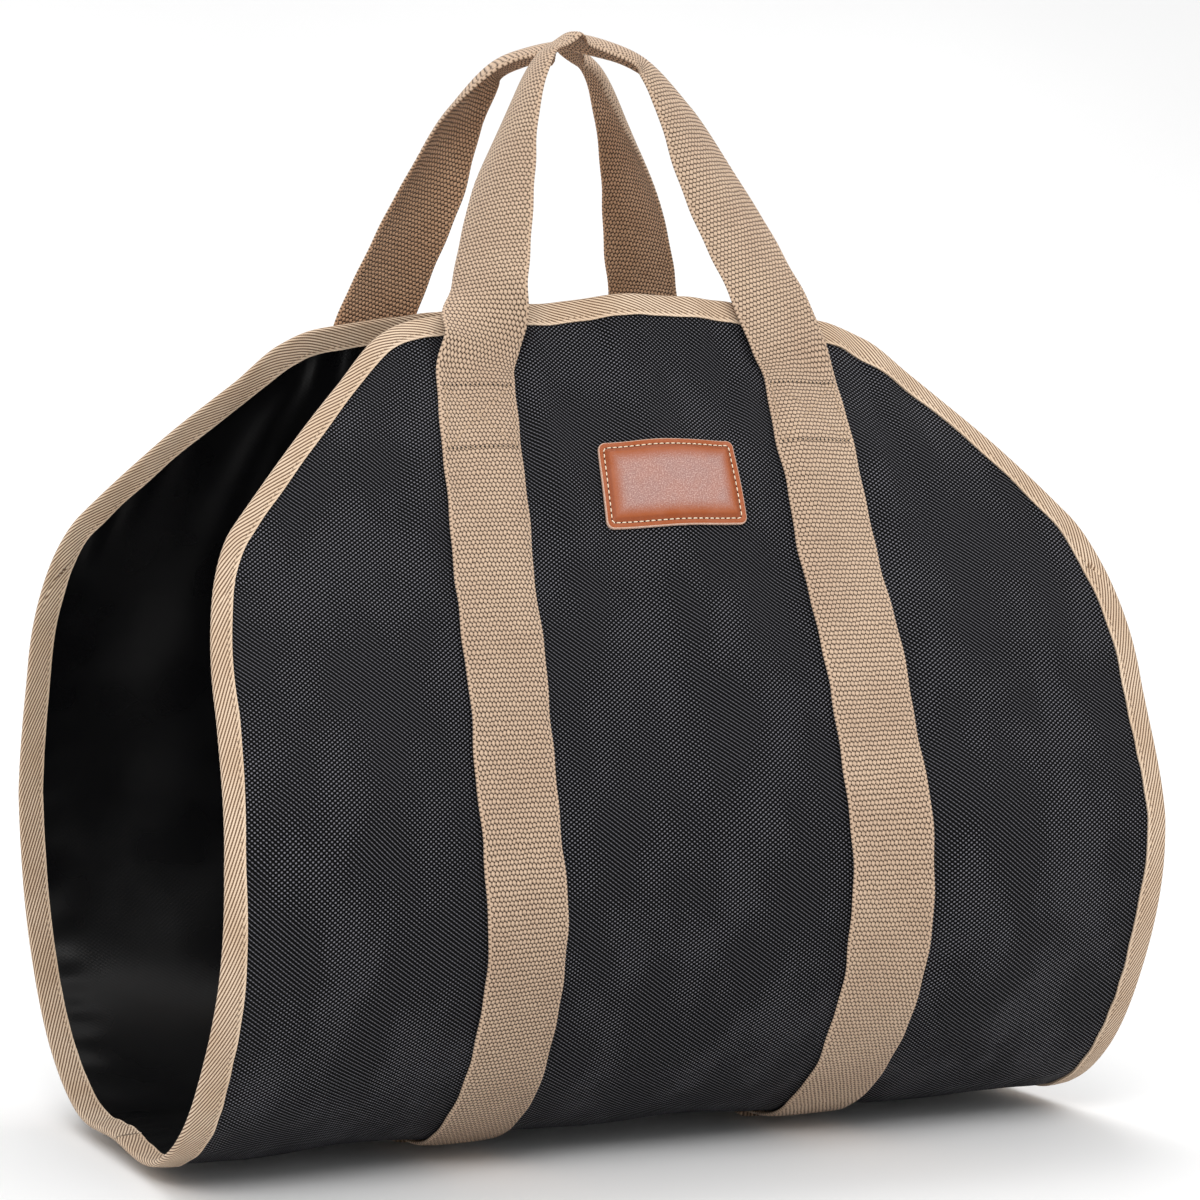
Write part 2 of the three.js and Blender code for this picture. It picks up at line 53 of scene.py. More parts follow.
TOP_ARCH, BULGE_HEIGHT, GATHER, SWAY = 11.5, 16, 13, 8.8
WEBBING_WIDTH, WEBBING_SPACING, SEWN_STOP, BOTTOM_LAP = 38, 178, 38, 60
LOOP_RISE, LOOP_SPREAD, LOOP_BACK_SET, GRIP_TURN = 122, 41.5, 16, math.radians(24)
TAPE_REACH = 10

SECTIONS = np.array([  # up, front, back, gather, sway
    (0, 0, 0, 0, 0),
    (0.004, 0.4, 0.4, 0, 0),
    (0.075, 0.671, 0.74, 0, 0),
    (0.211, 0.893, 0.958, 0, -0.2),
    (0.366, 0.967, 1.037, 0.04, -0.75),
    (0.517, 0.875, 0.977, 0.3, -1),
    (0.661, 0.74, 0.863, 0.4, -1),
    (0.8, 0.574, 0.713, 0.6, -0.5),
    (0.892, 0.424, 0.581, 0.74, 0),
    (1, 0.266, 0.467, 0.87, 0),
    (1.06, 0.177, 0.4, 1, 0),
])
BULGES = [  # panel, across, down, across reach, down reach, out
    (-1, 0.094, -0.19, 0.2, 0.3, 0.8),
    (-1, 0.14, 0.5, 0.26, 0.4, 0.35),
    (-1, -0.9, 0.72, 0.4, 0.27, 0.9),
    (-1, 0.59, 0.655, 0.25, 0.35, 0.75),
    (1, -0.04, 0.03, 0.2, 0.3, 0.6),
    (1, -0.9, 0.45, 0.35, 0.35, 0.7),
    (1, 0.9, 0.5, 0.35, 0.35, 0.5),
]
LEG = [  # rise, wide across, near across, back, wide turn, near turn, cup
    (0.13, 0.081, 0.051, 0.105, -0.072, -0.015, 2),
    (0.27, 0.148, 0.131, 0.214, 0.451, -0.013, 4.5),
    (0.4, 0.232, 0.2, 0.36, 0.459, 0.035, 8),
    (0.6, 0.352, 0.313, 0.565, 0.605, 0.2, 14),
    (0.8, 0.542, 0.419, 0.763, 0.855, 0.57, 16),
    (0.93, 0.754, 0.565, 0.945, 0.98, 0.93, 18),
    (0.98, 0.908, 0.767, 0.985, 1, 1, 17),
]
HALF_WIDTH, HALF_DEPTH = BODY_WIDTH / 2, BODY_DEPTH / 2
TOP_HALF = HALF_WIDTH - CORNER_CUT_ACROSS
EDGE_YARN = 0.2
LINE_MIDDLE, LINE_HALF = WEBBING_SPACING / 2, WEBBING_WIDTH / 2 + EDGE_YARN
WEBBING_OUTER = LINE_MIDDLE + WEBBING_WIDTH / 2
GRIP_HEIGHT = BODY_HEIGHT + LOOP_RISE
TO_PART = np.array([0, -LOOP_BACK_SET, -GRIP_HEIGHT])


def spline(knots, places):
    """Points and unit tangents of a centripetal Catmull-Rom curve, at places from 0 to 1."""
    knots = np.asarray(knots, float)
    n = len(knots)
    ends = np.vstack([2 * knots[0] - knots[1], knots, 2 * knots[-1] - knots[-2]])
    t = np.asarray(places) * (n - 1)
    i = np.clip(t.astype(int), 0, n - 2)
    w = (t - i)[:, None]
    p0, p1, p2, p3 = ends[i], ends[i + 1], ends[i + 2], ends[i + 3]

    def step(a, b):
        return np.maximum(((a - b) ** 2).sum(1) ** 0.25, 1e-4)[:, None]

    d0, d1, d2 = step(p0, p1), step(p1, p2), step(p2, p3)
    t1 = ((p1 - p0) / d0 - (p2 - p0) / (d0 + d1) + (p2 - p1) / d1) * d1
    t2 = ((p2 - p1) / d1 - (p3 - p1) / (d1 + d2) + (p3 - p2) / d2) * d1
    c2, c3 = -3 * p1 + 3 * p2 - 2 * t1 - t2, 2 * p1 - 2 * p2 + t1 + t2
    tangents = t1 + 2 * c2 * w + 3 * c3 * w**2
    tangents /= np.linalg.norm(tangents, axis=1)[:, None]
    return p1 + t1 * w + c2 * w**2 + c3 * w**3, tangents


def lengths_of(points):
    """Distances along a path, from 0 at its first point."""
    return np.r_[0, np.cumsum(np.linalg.norm(np.diff(points, axis=0), axis=1))]


_up = SECTIONS[:, 0] * BODY_HEIGHT
_front = np.c_[-SECTIONS[:, 1] * HALF_DEPTH, _up]
_back = np.c_[SECTIONS[:, 2] * HALF_DEPTH, _up]
U_STEPS = 1200
U_POINTS = spline(np.vstack([_front[:0:-1], _back]), np.linspace(0, 1, U_STEPS + 1))[0]
U_LENGTHS = lengths_of(U_POINTS)
U_MIDDLE = U_LENGTHS[U_STEPS // 2]
SHEET_LENGTH = SHEET_SHARE * U_LENGTHS[-1]
HALF_LENGTH = SHEET_LENGTH / 2
U_TANGENTS = np.gradient(U_POINTS, U_LENGTHS, axis=0)
U_TANGENTS /= np.linalg.norm(U_TANGENTS, axis=1)[:, None]

# Soft unevenness of the cloth: a few long waves with fixed random directions
_rng = np.random.default_rng(7)
WAVES = [
    (_rng.uniform(0, 2 * math.pi), _rng.uniform(55, 150), _rng.uniform(0, 2 * math.pi))
    for _ in range(14)
]


def unevenness(across, along):
    total = 0
    for turn, length, phase in WAVES:
        way = across * math.cos(turn) + along * math.sin(turn)
        total = total + np.sin(2 * math.pi * way / length + phase) * length / 100
    return 0.28 * total


def folds(across, along):
    """Folds that hang from the sewn stops, soft ones between the lines of webbing, the cloth
    turning in beside the right line, and puckers that the tape's stitches make."""
    out = 0
    stop = HALF_LENGTH - 8 - SEWN_STOP
    down = stop - np.abs(along)
    front = along < 0
    for side in (-1, 1):
        # folds that fan out below the stop, and the cloth sinking beside the seam
        from_line = across - side * LINE_MIDDLE
        fan = from_line / (1 + np.clip(down, 0, 400) / 160)
        fade = np.exp(-((np.abs(from_line) - 34) / 24) ** 2) * np.exp(-((down - 40) / 95) ** 2)
        out = out + 1.3 * np.cos(2 * math.pi * fan / 27 + side) * fade
        seam = np.exp(-((np.abs(from_line) - LINE_HALF - 4) / 7) ** 2)
        out = out - 0.5 * seam * (1 + 0.6 * np.sin(along / 7.5 + side * across / 9))
    middle = np.exp(-(across / 55) ** 2) * np.exp(-((down + 10) / 120) ** 2)
    out = out + front * 1.5 * middle * np.cos(2 * math.pi * (across - 0.12 * down) / 58)
    turn_in = np.exp(-((across - 52) / 15) ** 2) * np.exp(-((down - 70) / 115) ** 2)
    out = out - front * 3.2 * turn_in
    to_side = HALF_WIDTH - np.abs(across)
    to_top = (HALF_LENGTH - edge_drop(across) - np.abs(along)) * 0.75
    to_edge = np.minimum(to_side, to_top)
    pucker = np.sin(along / 3.4 + 1.7 * np.sin(along / 21)) * (to_side < to_top)
    pucker = pucker + np.sin(across / 3.1 + 1.5 * np.sin(across / 17)) * (to_side >= to_top)
    return out + 0.4 * pucker * np.exp(-((to_edge - 15) / 9) ** 2)


def edge_drop(across):
    """How far below the top's arch the sheet's edge lies, at a distance across."""
    x = np.abs(across)
    arch = TOP_ARCH * np.minimum(1, x / TOP_HALF) ** 2
    slope = (CORNER_CUT_DOWN - TOP_ARCH) / CORNER_CUT_ACROSS
    past = (x - TOP_HALF) / CORNER_SOFTNESS
    eased = np.maximum(past, 0) + np.log1p(np.exp(-np.abs(past)))
    turned = np.clip(1 - (HALF_WIDTH - x) / CORNER_ROUND_ACROSS, 0, 1)
    rounded = CORNER_ROUND_DOWN * (1 - np.sqrt(1 - turned**2))
    return arch + slope * CORNER_SOFTNESS * eased + rounded


def edge_at(across):
    """The sheet's edge along, at a distance across."""
    return HALF_LENGTH - edge_drop(across)


def cloth_middle(across, along):
    """Points on the middle of the cloth's thickness."""
    across, along = np.broadcast_arrays(np.asarray(across, float), np.asarray(along, float))
    at = U_MIDDLE + along
    y, z = (np.interp(at, U_LENGTHS, U_POINTS[:, k]) for k in (0, 1))
    ty, tz = (np.interp(at, U_LENGTHS, U_TANGENTS[:, k]) for k in (0, 1))
    down = (HALF_LENGTH - np.abs(along)) / BODY_HEIGHT
    out = unevenness(across, along) + folds(across, along)
    for panel, b_across, b_down, reach_across, reach_down, height in BULGES:
        dx = (across / HALF_WIDTH - b_across) / reach_across
        dz = (down - b_down) / reach_down
        side = (along >= 0) if panel > 0 else (along < 0)
        out = out + side * height * BULGE_HEIGHT * np.exp(-dx * dx - dz * dz)
    up = z / BODY_HEIGHT
    gathered = GATHER * np.interp(up, SECTIONS[:, 0], SECTIONS[:, 3])
    sway = SWAY * np.interp(up, SECTIONS[:, 0], SECTIONS[:, 4])
    x = across - gathered * np.clip(across / WEBBING_OUTER, -1, 1)
    x = x + sway * (1 - (across / HALF_WIDTH) ** 2)
    return np.stack([x, y + out * tz, z - out * ty], -1)


def cloth_frame(across, along, step=0.5):
    """The cloth's middle, its slopes across and along, and the way out of it."""
    tx = cloth_middle(across + step, along) - cloth_middle(across - step, along)
    tv = cloth_middle(across, along + step) - cloth_middle(across, along - step)
    tx /= np.linalg.norm(tx, axis=-1)[..., None]
    tv /= np.linalg.norm(tv, axis=-1)[..., None]
    normal = np.cross(tv, tx)
    normal /= np.linalg.norm(normal, axis=-1)[..., None]
    return cloth_middle(across, along), tx, tv, normal


def cloth_point(across, along, out):
    """Points at a distance out from the cloth's middle."""
    across, along, out = np.broadcast_arrays(across, along, out)
    point, _, _, normal = cloth_frame(across.astype(float), along.astype(float))
    return point + normal * np.asarray(out, float)[..., None]


# ---- Meshes ----
def make_mesh(name, points, quads, flat, marks=None, face_kinds=None, sharp=40):
    """A smooth mesh from quads, with flat places in metres as its UV map and marks as
    numbers on its points. Faces are turned to look out. points are in the body's frame."""
    points = (np.asarray(points, float) + TO_PART) / 1000
    quads = np.asarray(quads)
    a, b, c, d = (points[quads[:, k]] for k in range(4))
    volume = (a * np.cross(b, c)).sum() + (a * np.cross(c, d)).sum()
    if volume < 0:
        quads = quads[:, ::-1]
    mesh = bpy.data.meshes.new(name)
    mesh.vertices.add(len(points))
    mesh.vertices.foreach_set("co", points.ravel())
    mesh.loops.add(quads.size)
    mesh.loops.foreach_set("vertex_index", quads.ravel())
    mesh.polygons.add(len(quads))
    mesh.polygons.foreach_set("loop_start", np.arange(0, quads.size, 4))
    mesh.update(calc_edges=True)
    layer = mesh.uv_layers.new(name="flat")
    layer.data.foreach_set("uv", (np.asarray(flat, float) / 1000)[quads.ravel()].ravel())
    for key, values in (marks or {}).items():
        attribute = mesh.attributes.new(key, "FLOAT", "POINT")
        attribute.data.foreach_set("value", np.asarray(values, np.float32).ravel())
    mesh.polygons.foreach_set("use_smooth", np.ones(len(quads), bool))
    if face_kinds is not None:
        mesh.polygons.foreach_set("material_index", np.asarray(face_kinds, np.int32))
    mesh.set_sharp_from_angle(angle=math.radians(sharp))
    mesh.validate()
    piece = bpy.data.objects.new(name, mesh)
    bpy.context.scene.collection.objects.link(piece)
    return piece


def grid_quads(rows, cols, start=0, closed_rows=False, closed_cols=False):
    index = start + np.arange(rows * cols).reshape(rows, cols)
    if closed_rows:
        index = np.vstack([index, index[:1]])
    if closed_cols:
        index = np.hstack([index, index[:, :1]])
    corners = (index[:-1, :-1], index[:-1, 1:], index[1:, 1:], index[1:, :-1])
    return np.stack(corners, -1).reshape(-1, 4)


def rim_quads(rows, cols):
    """Quads between two grids, all round their border."""
    index = np.arange(rows * cols).reshape(rows, cols)
    loop = np.r_[index[0, :-1], index[:-1, -1], index[-1, :0:-1], index[:0:-1, 0]]
    after = np.roll(loop, -1)
    return np.stack([after, loop, loop + rows * cols, after + rows * cols], -1)


def sheet_quads(rows, cols):
    """Quads of a thin sheet: its outer grid, its inner grid and its rim."""
    outer = grid_quads(rows, cols)
    inner = grid_quads(rows, cols, rows * cols)[:, ::-1]
    return outer, inner, rim_quads(rows, cols)


def stitches(name, places, ways, outs, length, width, height, sides=6, parts=5):
    """Short rounded threads at places, each along its way and rising along its out."""
    places, ways, outs = (np.asarray(v, float) for v in (places, ways, outs))
    ways = ways / np.linalg.norm(ways, axis=1)[:, None]
    outs = outs - ways * (outs * ways).sum(1)[:, None]
    outs /= np.linalg.norm(outs, axis=1)[:, None]
    sidesway = np.cross(ways, outs)
    t = np.linspace(0, math.pi, parts)
    swell = np.sqrt(np.maximum(np.sin(t), 0.02))
    rise = np.sin(t)
    lengthwise = -np.cos(t) * length / 2
    angle = np.arange(sides) * 2 * math.pi / sides
    ring_w = np.cos(angle)[None, :] * swell[:, None] * width / 2
    ring_h = np.sin(angle)[None, :] * swell[:, None] * height / 2 + (rise * height * 0.5)[:, None]
    local = (
        ways[:, None, None] * lengthwise[None, :, None, None]
        + sidesway[:, None, None] * ring_w[None, :, :, None]
        + outs[:, None, None] * ring_h[None, :, :, None]
    )
    points = (places[:, None, None] + local).reshape(-1, 3)
    one = grid_quads(parts, sides, closed_cols=True)
    caps = []
    for base, turn in ((0, 1), ((parts - 1) * sides, -1)):
        for k in range(1, sides - 2, 2):
            caps.append([base, base + k, base + k + 1, base + k + 2][::turn])
    one = np.vstack([one, caps])
    size = parts * sides
    quads = (one[None] + (np.arange(len(places)) * size)[:, None, None]).reshape(-1, 4)
    along = np.tile(np.repeat(lengthwise, sides), len(places))
    round_ = np.tile(np.tile(angle, parts) * width / 2, len(places))
    return make_mesh(name, points, quads, np.c_[along, round_], sharp=80)


# ---- Cloth: one fine sheet with the cut outline ----
def cloth_piece(cols=150, rows=300, thickness=1.2):
    share = np.sin(np.linspace(-math.pi / 2, math.pi / 2, cols))
    plain = np.linspace(-1, 1, cols)
    across = HALF_WIDTH * (0.25 * share + 0.75 * plain)
    level = 0.85 * edge_at(HALF_WIDTH)
    s = np.linspace(-1, 1, rows)[:, None]
    split = level / edge_at(0)
    low = level * np.clip(np.abs(s) / split, 0, 1)
    high = np.clip((np.abs(s) - split) / (1 - split), 0, 1)
    along = np.sign(s) * (low + (edge_at(across)[None, :] - level) * high)
    grid_x = np.broadcast_to(across[None, :], along.shape)
    outer = cloth_point(grid_x, along, thickness / 2)
    inner = cloth_point(grid_x, along, -thickness / 2)
    quads = sheet_quads(rows, cols)
    flat = np.stack([grid_x, along], -1).reshape(-1, 2)
    kinds = np.repeat([0, 1, 0], [len(q) for q in quads])
    points = np.vstack([outer.reshape(-1, 3), inner.reshape(-1, 3)])
    return make_mesh("cloth_sheet", points, np.vstack(quads), np.vstack([flat, flat]), None, kinds)


# ---- Rim: places round the sheet's edge at even distances ----
def rim_places(pitch):
    a = np.sin(np.linspace(-math.pi / 2, math.pi / 2, 1400)) * HALF_WIDTH
    top = np.c_[a, edge_at(a)]
    upright = np.linspace(0, edge_at(HALF_WIDTH), 200)
    left = np.c_[np.full(200, -HALF_WIDTH), upright]
    right = np.c_[np.full(200, HALF_WIDTH), upright[::-1]]
    back_half = np.vstack([left, top[1:], right[1:]])
    path = np.vstack([back_half, -back_half[1:]])
    distance = lengths_of(path)
    count = int(round(distance[-1] / pitch))
    at = np.arange(count) * distance[-1] / count
    place = np.c_[np.interp(at, distance, path[:, 0]), np.interp(at, distance, path[:, 1])]
    way = np.roll(place, -1, 0) - np.roll(place, 1, 0)
    way = (np.roll(way, 1, 0) + 2 * way + np.roll(way, -1, 0)) / 4
    way /= np.linalg.norm(way, axis=1)[:, None]
    inward = np.c_[-way[:, 1], way[:, 0]]
    inward *= -np.sign((inward * place).sum(1))[:, None]
    return at, place, inward, distance[-1]  # the last is the length of the whole rim


TAPE_GAP, TAPE_WALL, TAPE_PUFF = 0.7, 0.9, 0.25
TAPE_SEAM, TAPE_STITCH_OUT, RIB_STEP, STITCH_PITCH = 2.1, 1.72, 1.42, 3.1
TAPE_REACHES = [  # across and along as shares of the half sheet, reach on the front's outside
    (-1, 0, 12), (-1, -0.2, 12), (-1, -0.33, 10.5), (-1, -0.41, 8.8), (-1, -0.49, 7.8),
    (-1, -0.6, 9.2), (-0.965, -0.72, 7.4), (-0.87, -0.8, 7.6), (-0.7, -0.9, 7.4),
    (-0.57, -0.97, 7.6), (-0.5, -0.98, 8.8), (-0.25, -1, 10), (0, -1, 10), (0.19, -1, 9),
    (0.3, -1, 10), (0.59, -0.96, 10.6), (0.7, -0.9, 8), (0.76, -0.86, 7.6), (0.87, -0.8, 8.6),
    (0.965, -0.72, 10), (1, -0.57, 9.4), (1, -0.45, 9.2), (1, -0.37, 10.6), (1, -0.29, 9.2),
    (1, -0.2, 8.4), (1, 0, 9.5),
]


def tape_reach(at, place):
    """How far the tape reaches in from the edge on its outside, by distance round the rim."""
    known = []
    for across, along, reach in TAPE_REACHES:
        gap = place - [across * HALF_WIDTH, along * HALF_LENGTH]
        known.append((at[np.argmin((gap**2).sum(1))], reach))
    known.sort()
    plain = [(known[0][0] - 60, TAPE_REACH), *known, (known[-1][0] + 60, TAPE_REACH)]
    plain = [row for row in plain if 0 <= row[0] <= at[-1]]
    reach = np.interp(at, [row[0] for row in plain], [row[1] for row in plain])
    return reach + 0.25 * np.sin(at / 31) + 0.2 * np.sin(at / 13 + 1)


def inner_reach(at):
    """The same on the inside."""
    return TAPE_REACH + 0.6 + 0.4 * np.sin(at / 43 + 2)


def tape_piece(pitch=1.9, face_steps=22):
    """The folded tape: across it runs from its hem on the outside over the fold to the inside."""
    at, place, inward, _ = rim_places(pitch)
    reach_out, reach_in = tape_reach(at, place), inner_reach(at)
    face = TAPE_GAP + TAPE_WALL
    fold = np.linspace(0, math.pi, 7)[1:-1]
    swollen = []
    for k in np.linspace(1, 0, face_steps):
        swell = TAPE_PUFF * math.sin(math.pi * min(1, (1 - k) * 1.1 + 0.05)) ** 0.6
        swollen.append((k, 0, face + swell))
    section = [*swollen]  # share of the reach inward, extra outset, out
    section += [(0, face * math.sin(a), face * math.cos(a)) for a in fold]
    section += [(k, 0, -out) for k, _, out in swollen[::-1]]
    section += [(0.98, 0, -TAPE_GAP), (0, 0, -TAPE_GAP), (0, 0, TAPE_GAP), (0.98, 0, TAPE_GAP)]
    columns, over, hem = [], [], []
    for k, outset, out in section:
        reach = reach_out if out > 0 else reach_in
        inset = reach * k
        arc = face * (math.pi / 2 - math.asin(min(1, max(-1, out / face))))
        x = place[:, 0] + inward[:, 0] * inset
        v = place[:, 1] + inward[:, 1] * inset
        if outset:
            point, tx, tv, normal = cloth_frame(place[:, 0], place[:, 1])
            away = -(tx * inward[:, :1] + tv * inward[:, 1:])
            columns.append(point + away * outset + normal * out)
        else:
            columns.append(cloth_point(x, v, out))
        over.append(inset - arc if out > 0 else -inset - arc)
        hem.append((reach - inset) / 1000)
    points = np.stack(columns, 1)
    rows, cols = points.shape[:2]
    flat = np.stack([np.repeat(at[:, None], cols, 1), np.stack(over, 1)], -1)
    quads = grid_quads(rows, cols, closed_rows=True, closed_cols=True)
    marks = {"hem": np.stack(hem, 1)}
    return make_mesh("edge_tape", points.reshape(-1, 3), quads, flat.reshape(-1, 2), marks)


RIM_LENGTH = rim_places(STITCH_PITCH)[3]
STITCH_STEP = RIM_LENGTH / round(RIM_LENGTH / STITCH_PITCH)


def tape_stitches(side):
    """One row of stitches along the tape's hem, outside for side 1, inside for -1."""
    at, place, inward, _ = rim_places(STITCH_PITCH)
    inset = (tape_reach(at, place) if side > 0 else inner_reach(at)) - TAPE_SEAM
    x = place[:, 0] + inward[:, 0] * inset
    v = place[:, 1] + inward[:, 1] * inset
    _, tx, tv, normal = cloth_frame(x, v)
    points = cloth_point(x, v, side * TAPE_STITCH_OUT)
    ways = np.c_[-inward[:, 1], inward[:, 0]]
    ways = tx * ways[:, :1] + tv * ways[:, 1:]
    name = "tape_stitches_outside" if side > 0 else "tape_stitches_inside"
    return stitches(name, points, ways, normal * side, 2.1, 0.4, 0.16)


# ---- Webbing: two sewn lines and the loop between them, one strip for each panel ----
CELLS, CELL_ALONG = 40, 4.2
CELL_ACROSS = 2 * LINE_HALF / CELLS
STRIP_OUT = 0.8 + 0.3 + 1  # half the cloth, the gap and half the webbing
STRIP_HALF, YARN_RISE = 0.7, 0.5
STOP_BLEND, TANGENT_STEP = 22, 26
LAP_LIFT, LAP_REACH, LAP_RAMP = 2.6, 30, 20


def loop_frames(panel):
    """Middle points, tangents, width turns and cups of a loop, from stop to stop."""
    stop = edge_at(LINE_MIDDLE) - SEWN_STOP

    def end(side):
        spread = side * np.linspace(LINE_MIDDLE - LINE_HALF, WEBBING_OUTER, 5)
        here = cloth_point(spread, panel * stop, STRIP_OUT)
        before = cloth_point(spread, panel * (stop - TANGENT_STEP), STRIP_OUT)
        way = here[-1] - here[0]
        return here[2], before[2], math.atan(way[1] / way[0])

    top = np.array([
        panel * math.sin(GRIP_TURN) * LOOP_SPREAD / 2,
        LOOP_BACK_SET + panel * math.cos(GRIP_TURN) * LOOP_SPREAD / 2,
        GRIP_HEIGHT - 1,
    ])
    at_top = -math.pi / 2 - GRIP_TURN
    left, left_before, left_tilt = end(-1)
    right, right_before, right_tilt = end(1)
    left_turn = (0 if panel < 0 else -math.pi) + left_tilt
    right_turn = (-math.pi if panel < 0 else 0) + right_tilt

    def leg(start, turn, is_wide):
        rows = []
        for rise, wide, near, back, wide_turn, near_turn, cup in LEG:
            share = np.array([wide if is_wide else near, back, rise])
            twist = wide_turn if is_wide else near_turn
            rows.append((start + (top - start) * share, turn + (at_top - turn) * twist, cup))
        return rows

    knots = [(left_before, left_turn, 0), (left, left_turn, 0), *leg(left, left_turn, panel < 0),
             (top, at_top, LEG[-1][-1]), *leg(right, right_turn, panel > 0)[::-1],
             (right, right_turn, 0), (right_before, right_turn, 0)]
    n = len(knots)
    places = np.linspace(1 / (n - 1), 1 - 1 / (n - 1), 801)
    points, tangents = spline([k[0] for k in knots], places)
    turn = np.interp(places * (n - 1), range(n), [k[1] for k in knots])
    cup = np.radians(np.interp(places * (n - 1), range(n), [k[2] for k in knots]))
    kernel = np.hanning(41)
    kernel /= kernel.sum()
    turn, cup = (np.convolve(np.pad(v, 20, mode="edge"), kernel, "valid") for v in (turn, cup))
    return points, tangents, turn, cup


def strip_frames(panel, pitch):
    """One panel's strip: the distances of its cross rows, and the frames of its free loop."""
    loop, tangents, turn, cup = loop_frames(panel)
    loop_at = lengths_of(loop)
    sewn = edge_at(LINE_MIDDLE) - SEWN_STOP + BOTTOM_LAP / 2
    total = 2 * sewn + loop_at[-1]
    count = int(round(total / pitch))
    return SimpleNamespace(
        panel=panel, at=np.arange(count + 1) * total / count, sewn=sewn, total=total,
        loop=loop, loop_at=loop_at, tangents=tangents, turn=turn, cup=cup,
    )


SEWN_WANDER = np.array([  # along (front), shift of the left line, shift of the right line
    (0, 1.6, 1), (60, 2, 1.2), (140, 1.8, -0.6), (200, 1.4, 0.3), (230, 0, 0.2),
    (260, -1.2, 0.1), (300, -0.5, 1.2), (340, -0.2, 0.6), (380, -0.4, -0.2), (420, -1, -0.9),
    (455, 0, 0), (500, 0, 0),
])


def smooth(share):
    return share * share * (3 - 2 * share)


def sewn_place(strip, distance, offset, out, side):
    """Points on one sewn line, at distances from the sheet's bottom."""
    panel = strip.panel
    up = np.interp(U_MIDDLE + panel * distance, U_LENGTHS, U_POINTS[:, 1]) / BODY_HEIGHT
    gathered = GATHER * np.interp(up, SECTIONS[:, 0], SECTIONS[:, 3])
    squeeze = 1 - gathered / WEBBING_OUTER
    wanted = LINE_MIDDLE * squeeze + offset * panel
    # the gather narrows the cloth but not the webbing, so its inverse gives the place across
    x = side * np.where(wanted < WEBBING_OUTER * squeeze, wanted / squeeze, wanted + gathered)
    lap = 0
    if panel < 0:
        column = 1 if side < 0 else 2
        x = x + np.interp(distance, SEWN_WANDER[:, 0], SEWN_WANDER[:, column])
    else:
        lap = smooth(np.clip((BOTTOM_LAP / 2 + LAP_REACH - distance) / LAP_RAMP, 0, 1))
    return cloth_point(x, panel * distance, STRIP_OUT + out + LAP_LIFT * lap)


def free_place(strip, place, offset, out):
    """Points on the free loop, at distances from its first stop."""
    def along(values):
        return np.interp(place, strip.loop_at, values)

    centre = np.stack([along(strip.loop[:, k]) for k in range(3)], -1)
    tangent = np.stack([along(strip.tangents[:, k]) for k in range(3)], -1)
    tangent /= np.linalg.norm(tangent, axis=-1)[..., None]
    angle, bend = along(strip.turn), along(strip.cup)
    width = np.stack([np.cos(angle), np.sin(angle), 0 * angle], -1)
    width -= tangent * (width * tangent).sum(-1)[..., None]
    width /= np.linalg.norm(width, axis=-1)[..., None]
    normal = np.cross(width, tangent)
    share = offset / LINE_HALF
    drop = LINE_HALF * np.sin(bend) * share**2
    reach = offset * np.cos(bend * np.abs(share))
    tilt = np.arctan2(2 * drop * np.sign(share), LINE_HALF) * np.abs(share)
    face_out = normal * np.cos(tilt)[..., None] + width * np.sin(tilt)[..., None]
    return centre + width * reach[..., None] - normal * drop[..., None] + face_out * out[..., None]


def strip_points(strip, at, offset, out):
    """Points of the strip at distances along it, offset across it and out from its middle.
    offset grows from the strip's left edge to its right edge, seen from the panel's outside
    at the left line."""
    at, offset, out = (v.astype(float) for v in np.broadcast_arrays(at, offset, out))
    sewn_points = np.zeros(at.shape + (3,))
    # the sewn lines run on a little past their stops, to blend with the loop
    for side in (-1, 1):
        distance = np.asarray(at if side < 0 else strip.total - at)
        mask = distance < strip.sewn + STOP_BLEND
        sewn_points[mask] = sewn_place(
            strip, distance[mask] - BOTTOM_LAP / 2, offset[mask], out[mask], side
        )
    free = free_place(strip, np.clip(at - strip.sewn, 0, strip.loop_at[-1]), offset, out)
    past_stop = np.minimum(at - strip.sewn, strip.total - strip.sewn - at)
    ease = smooth(np.clip(past_stop / STOP_BLEND, 0, 1))[..., None]
    return sewn_points * (1 - ease) + free * ease


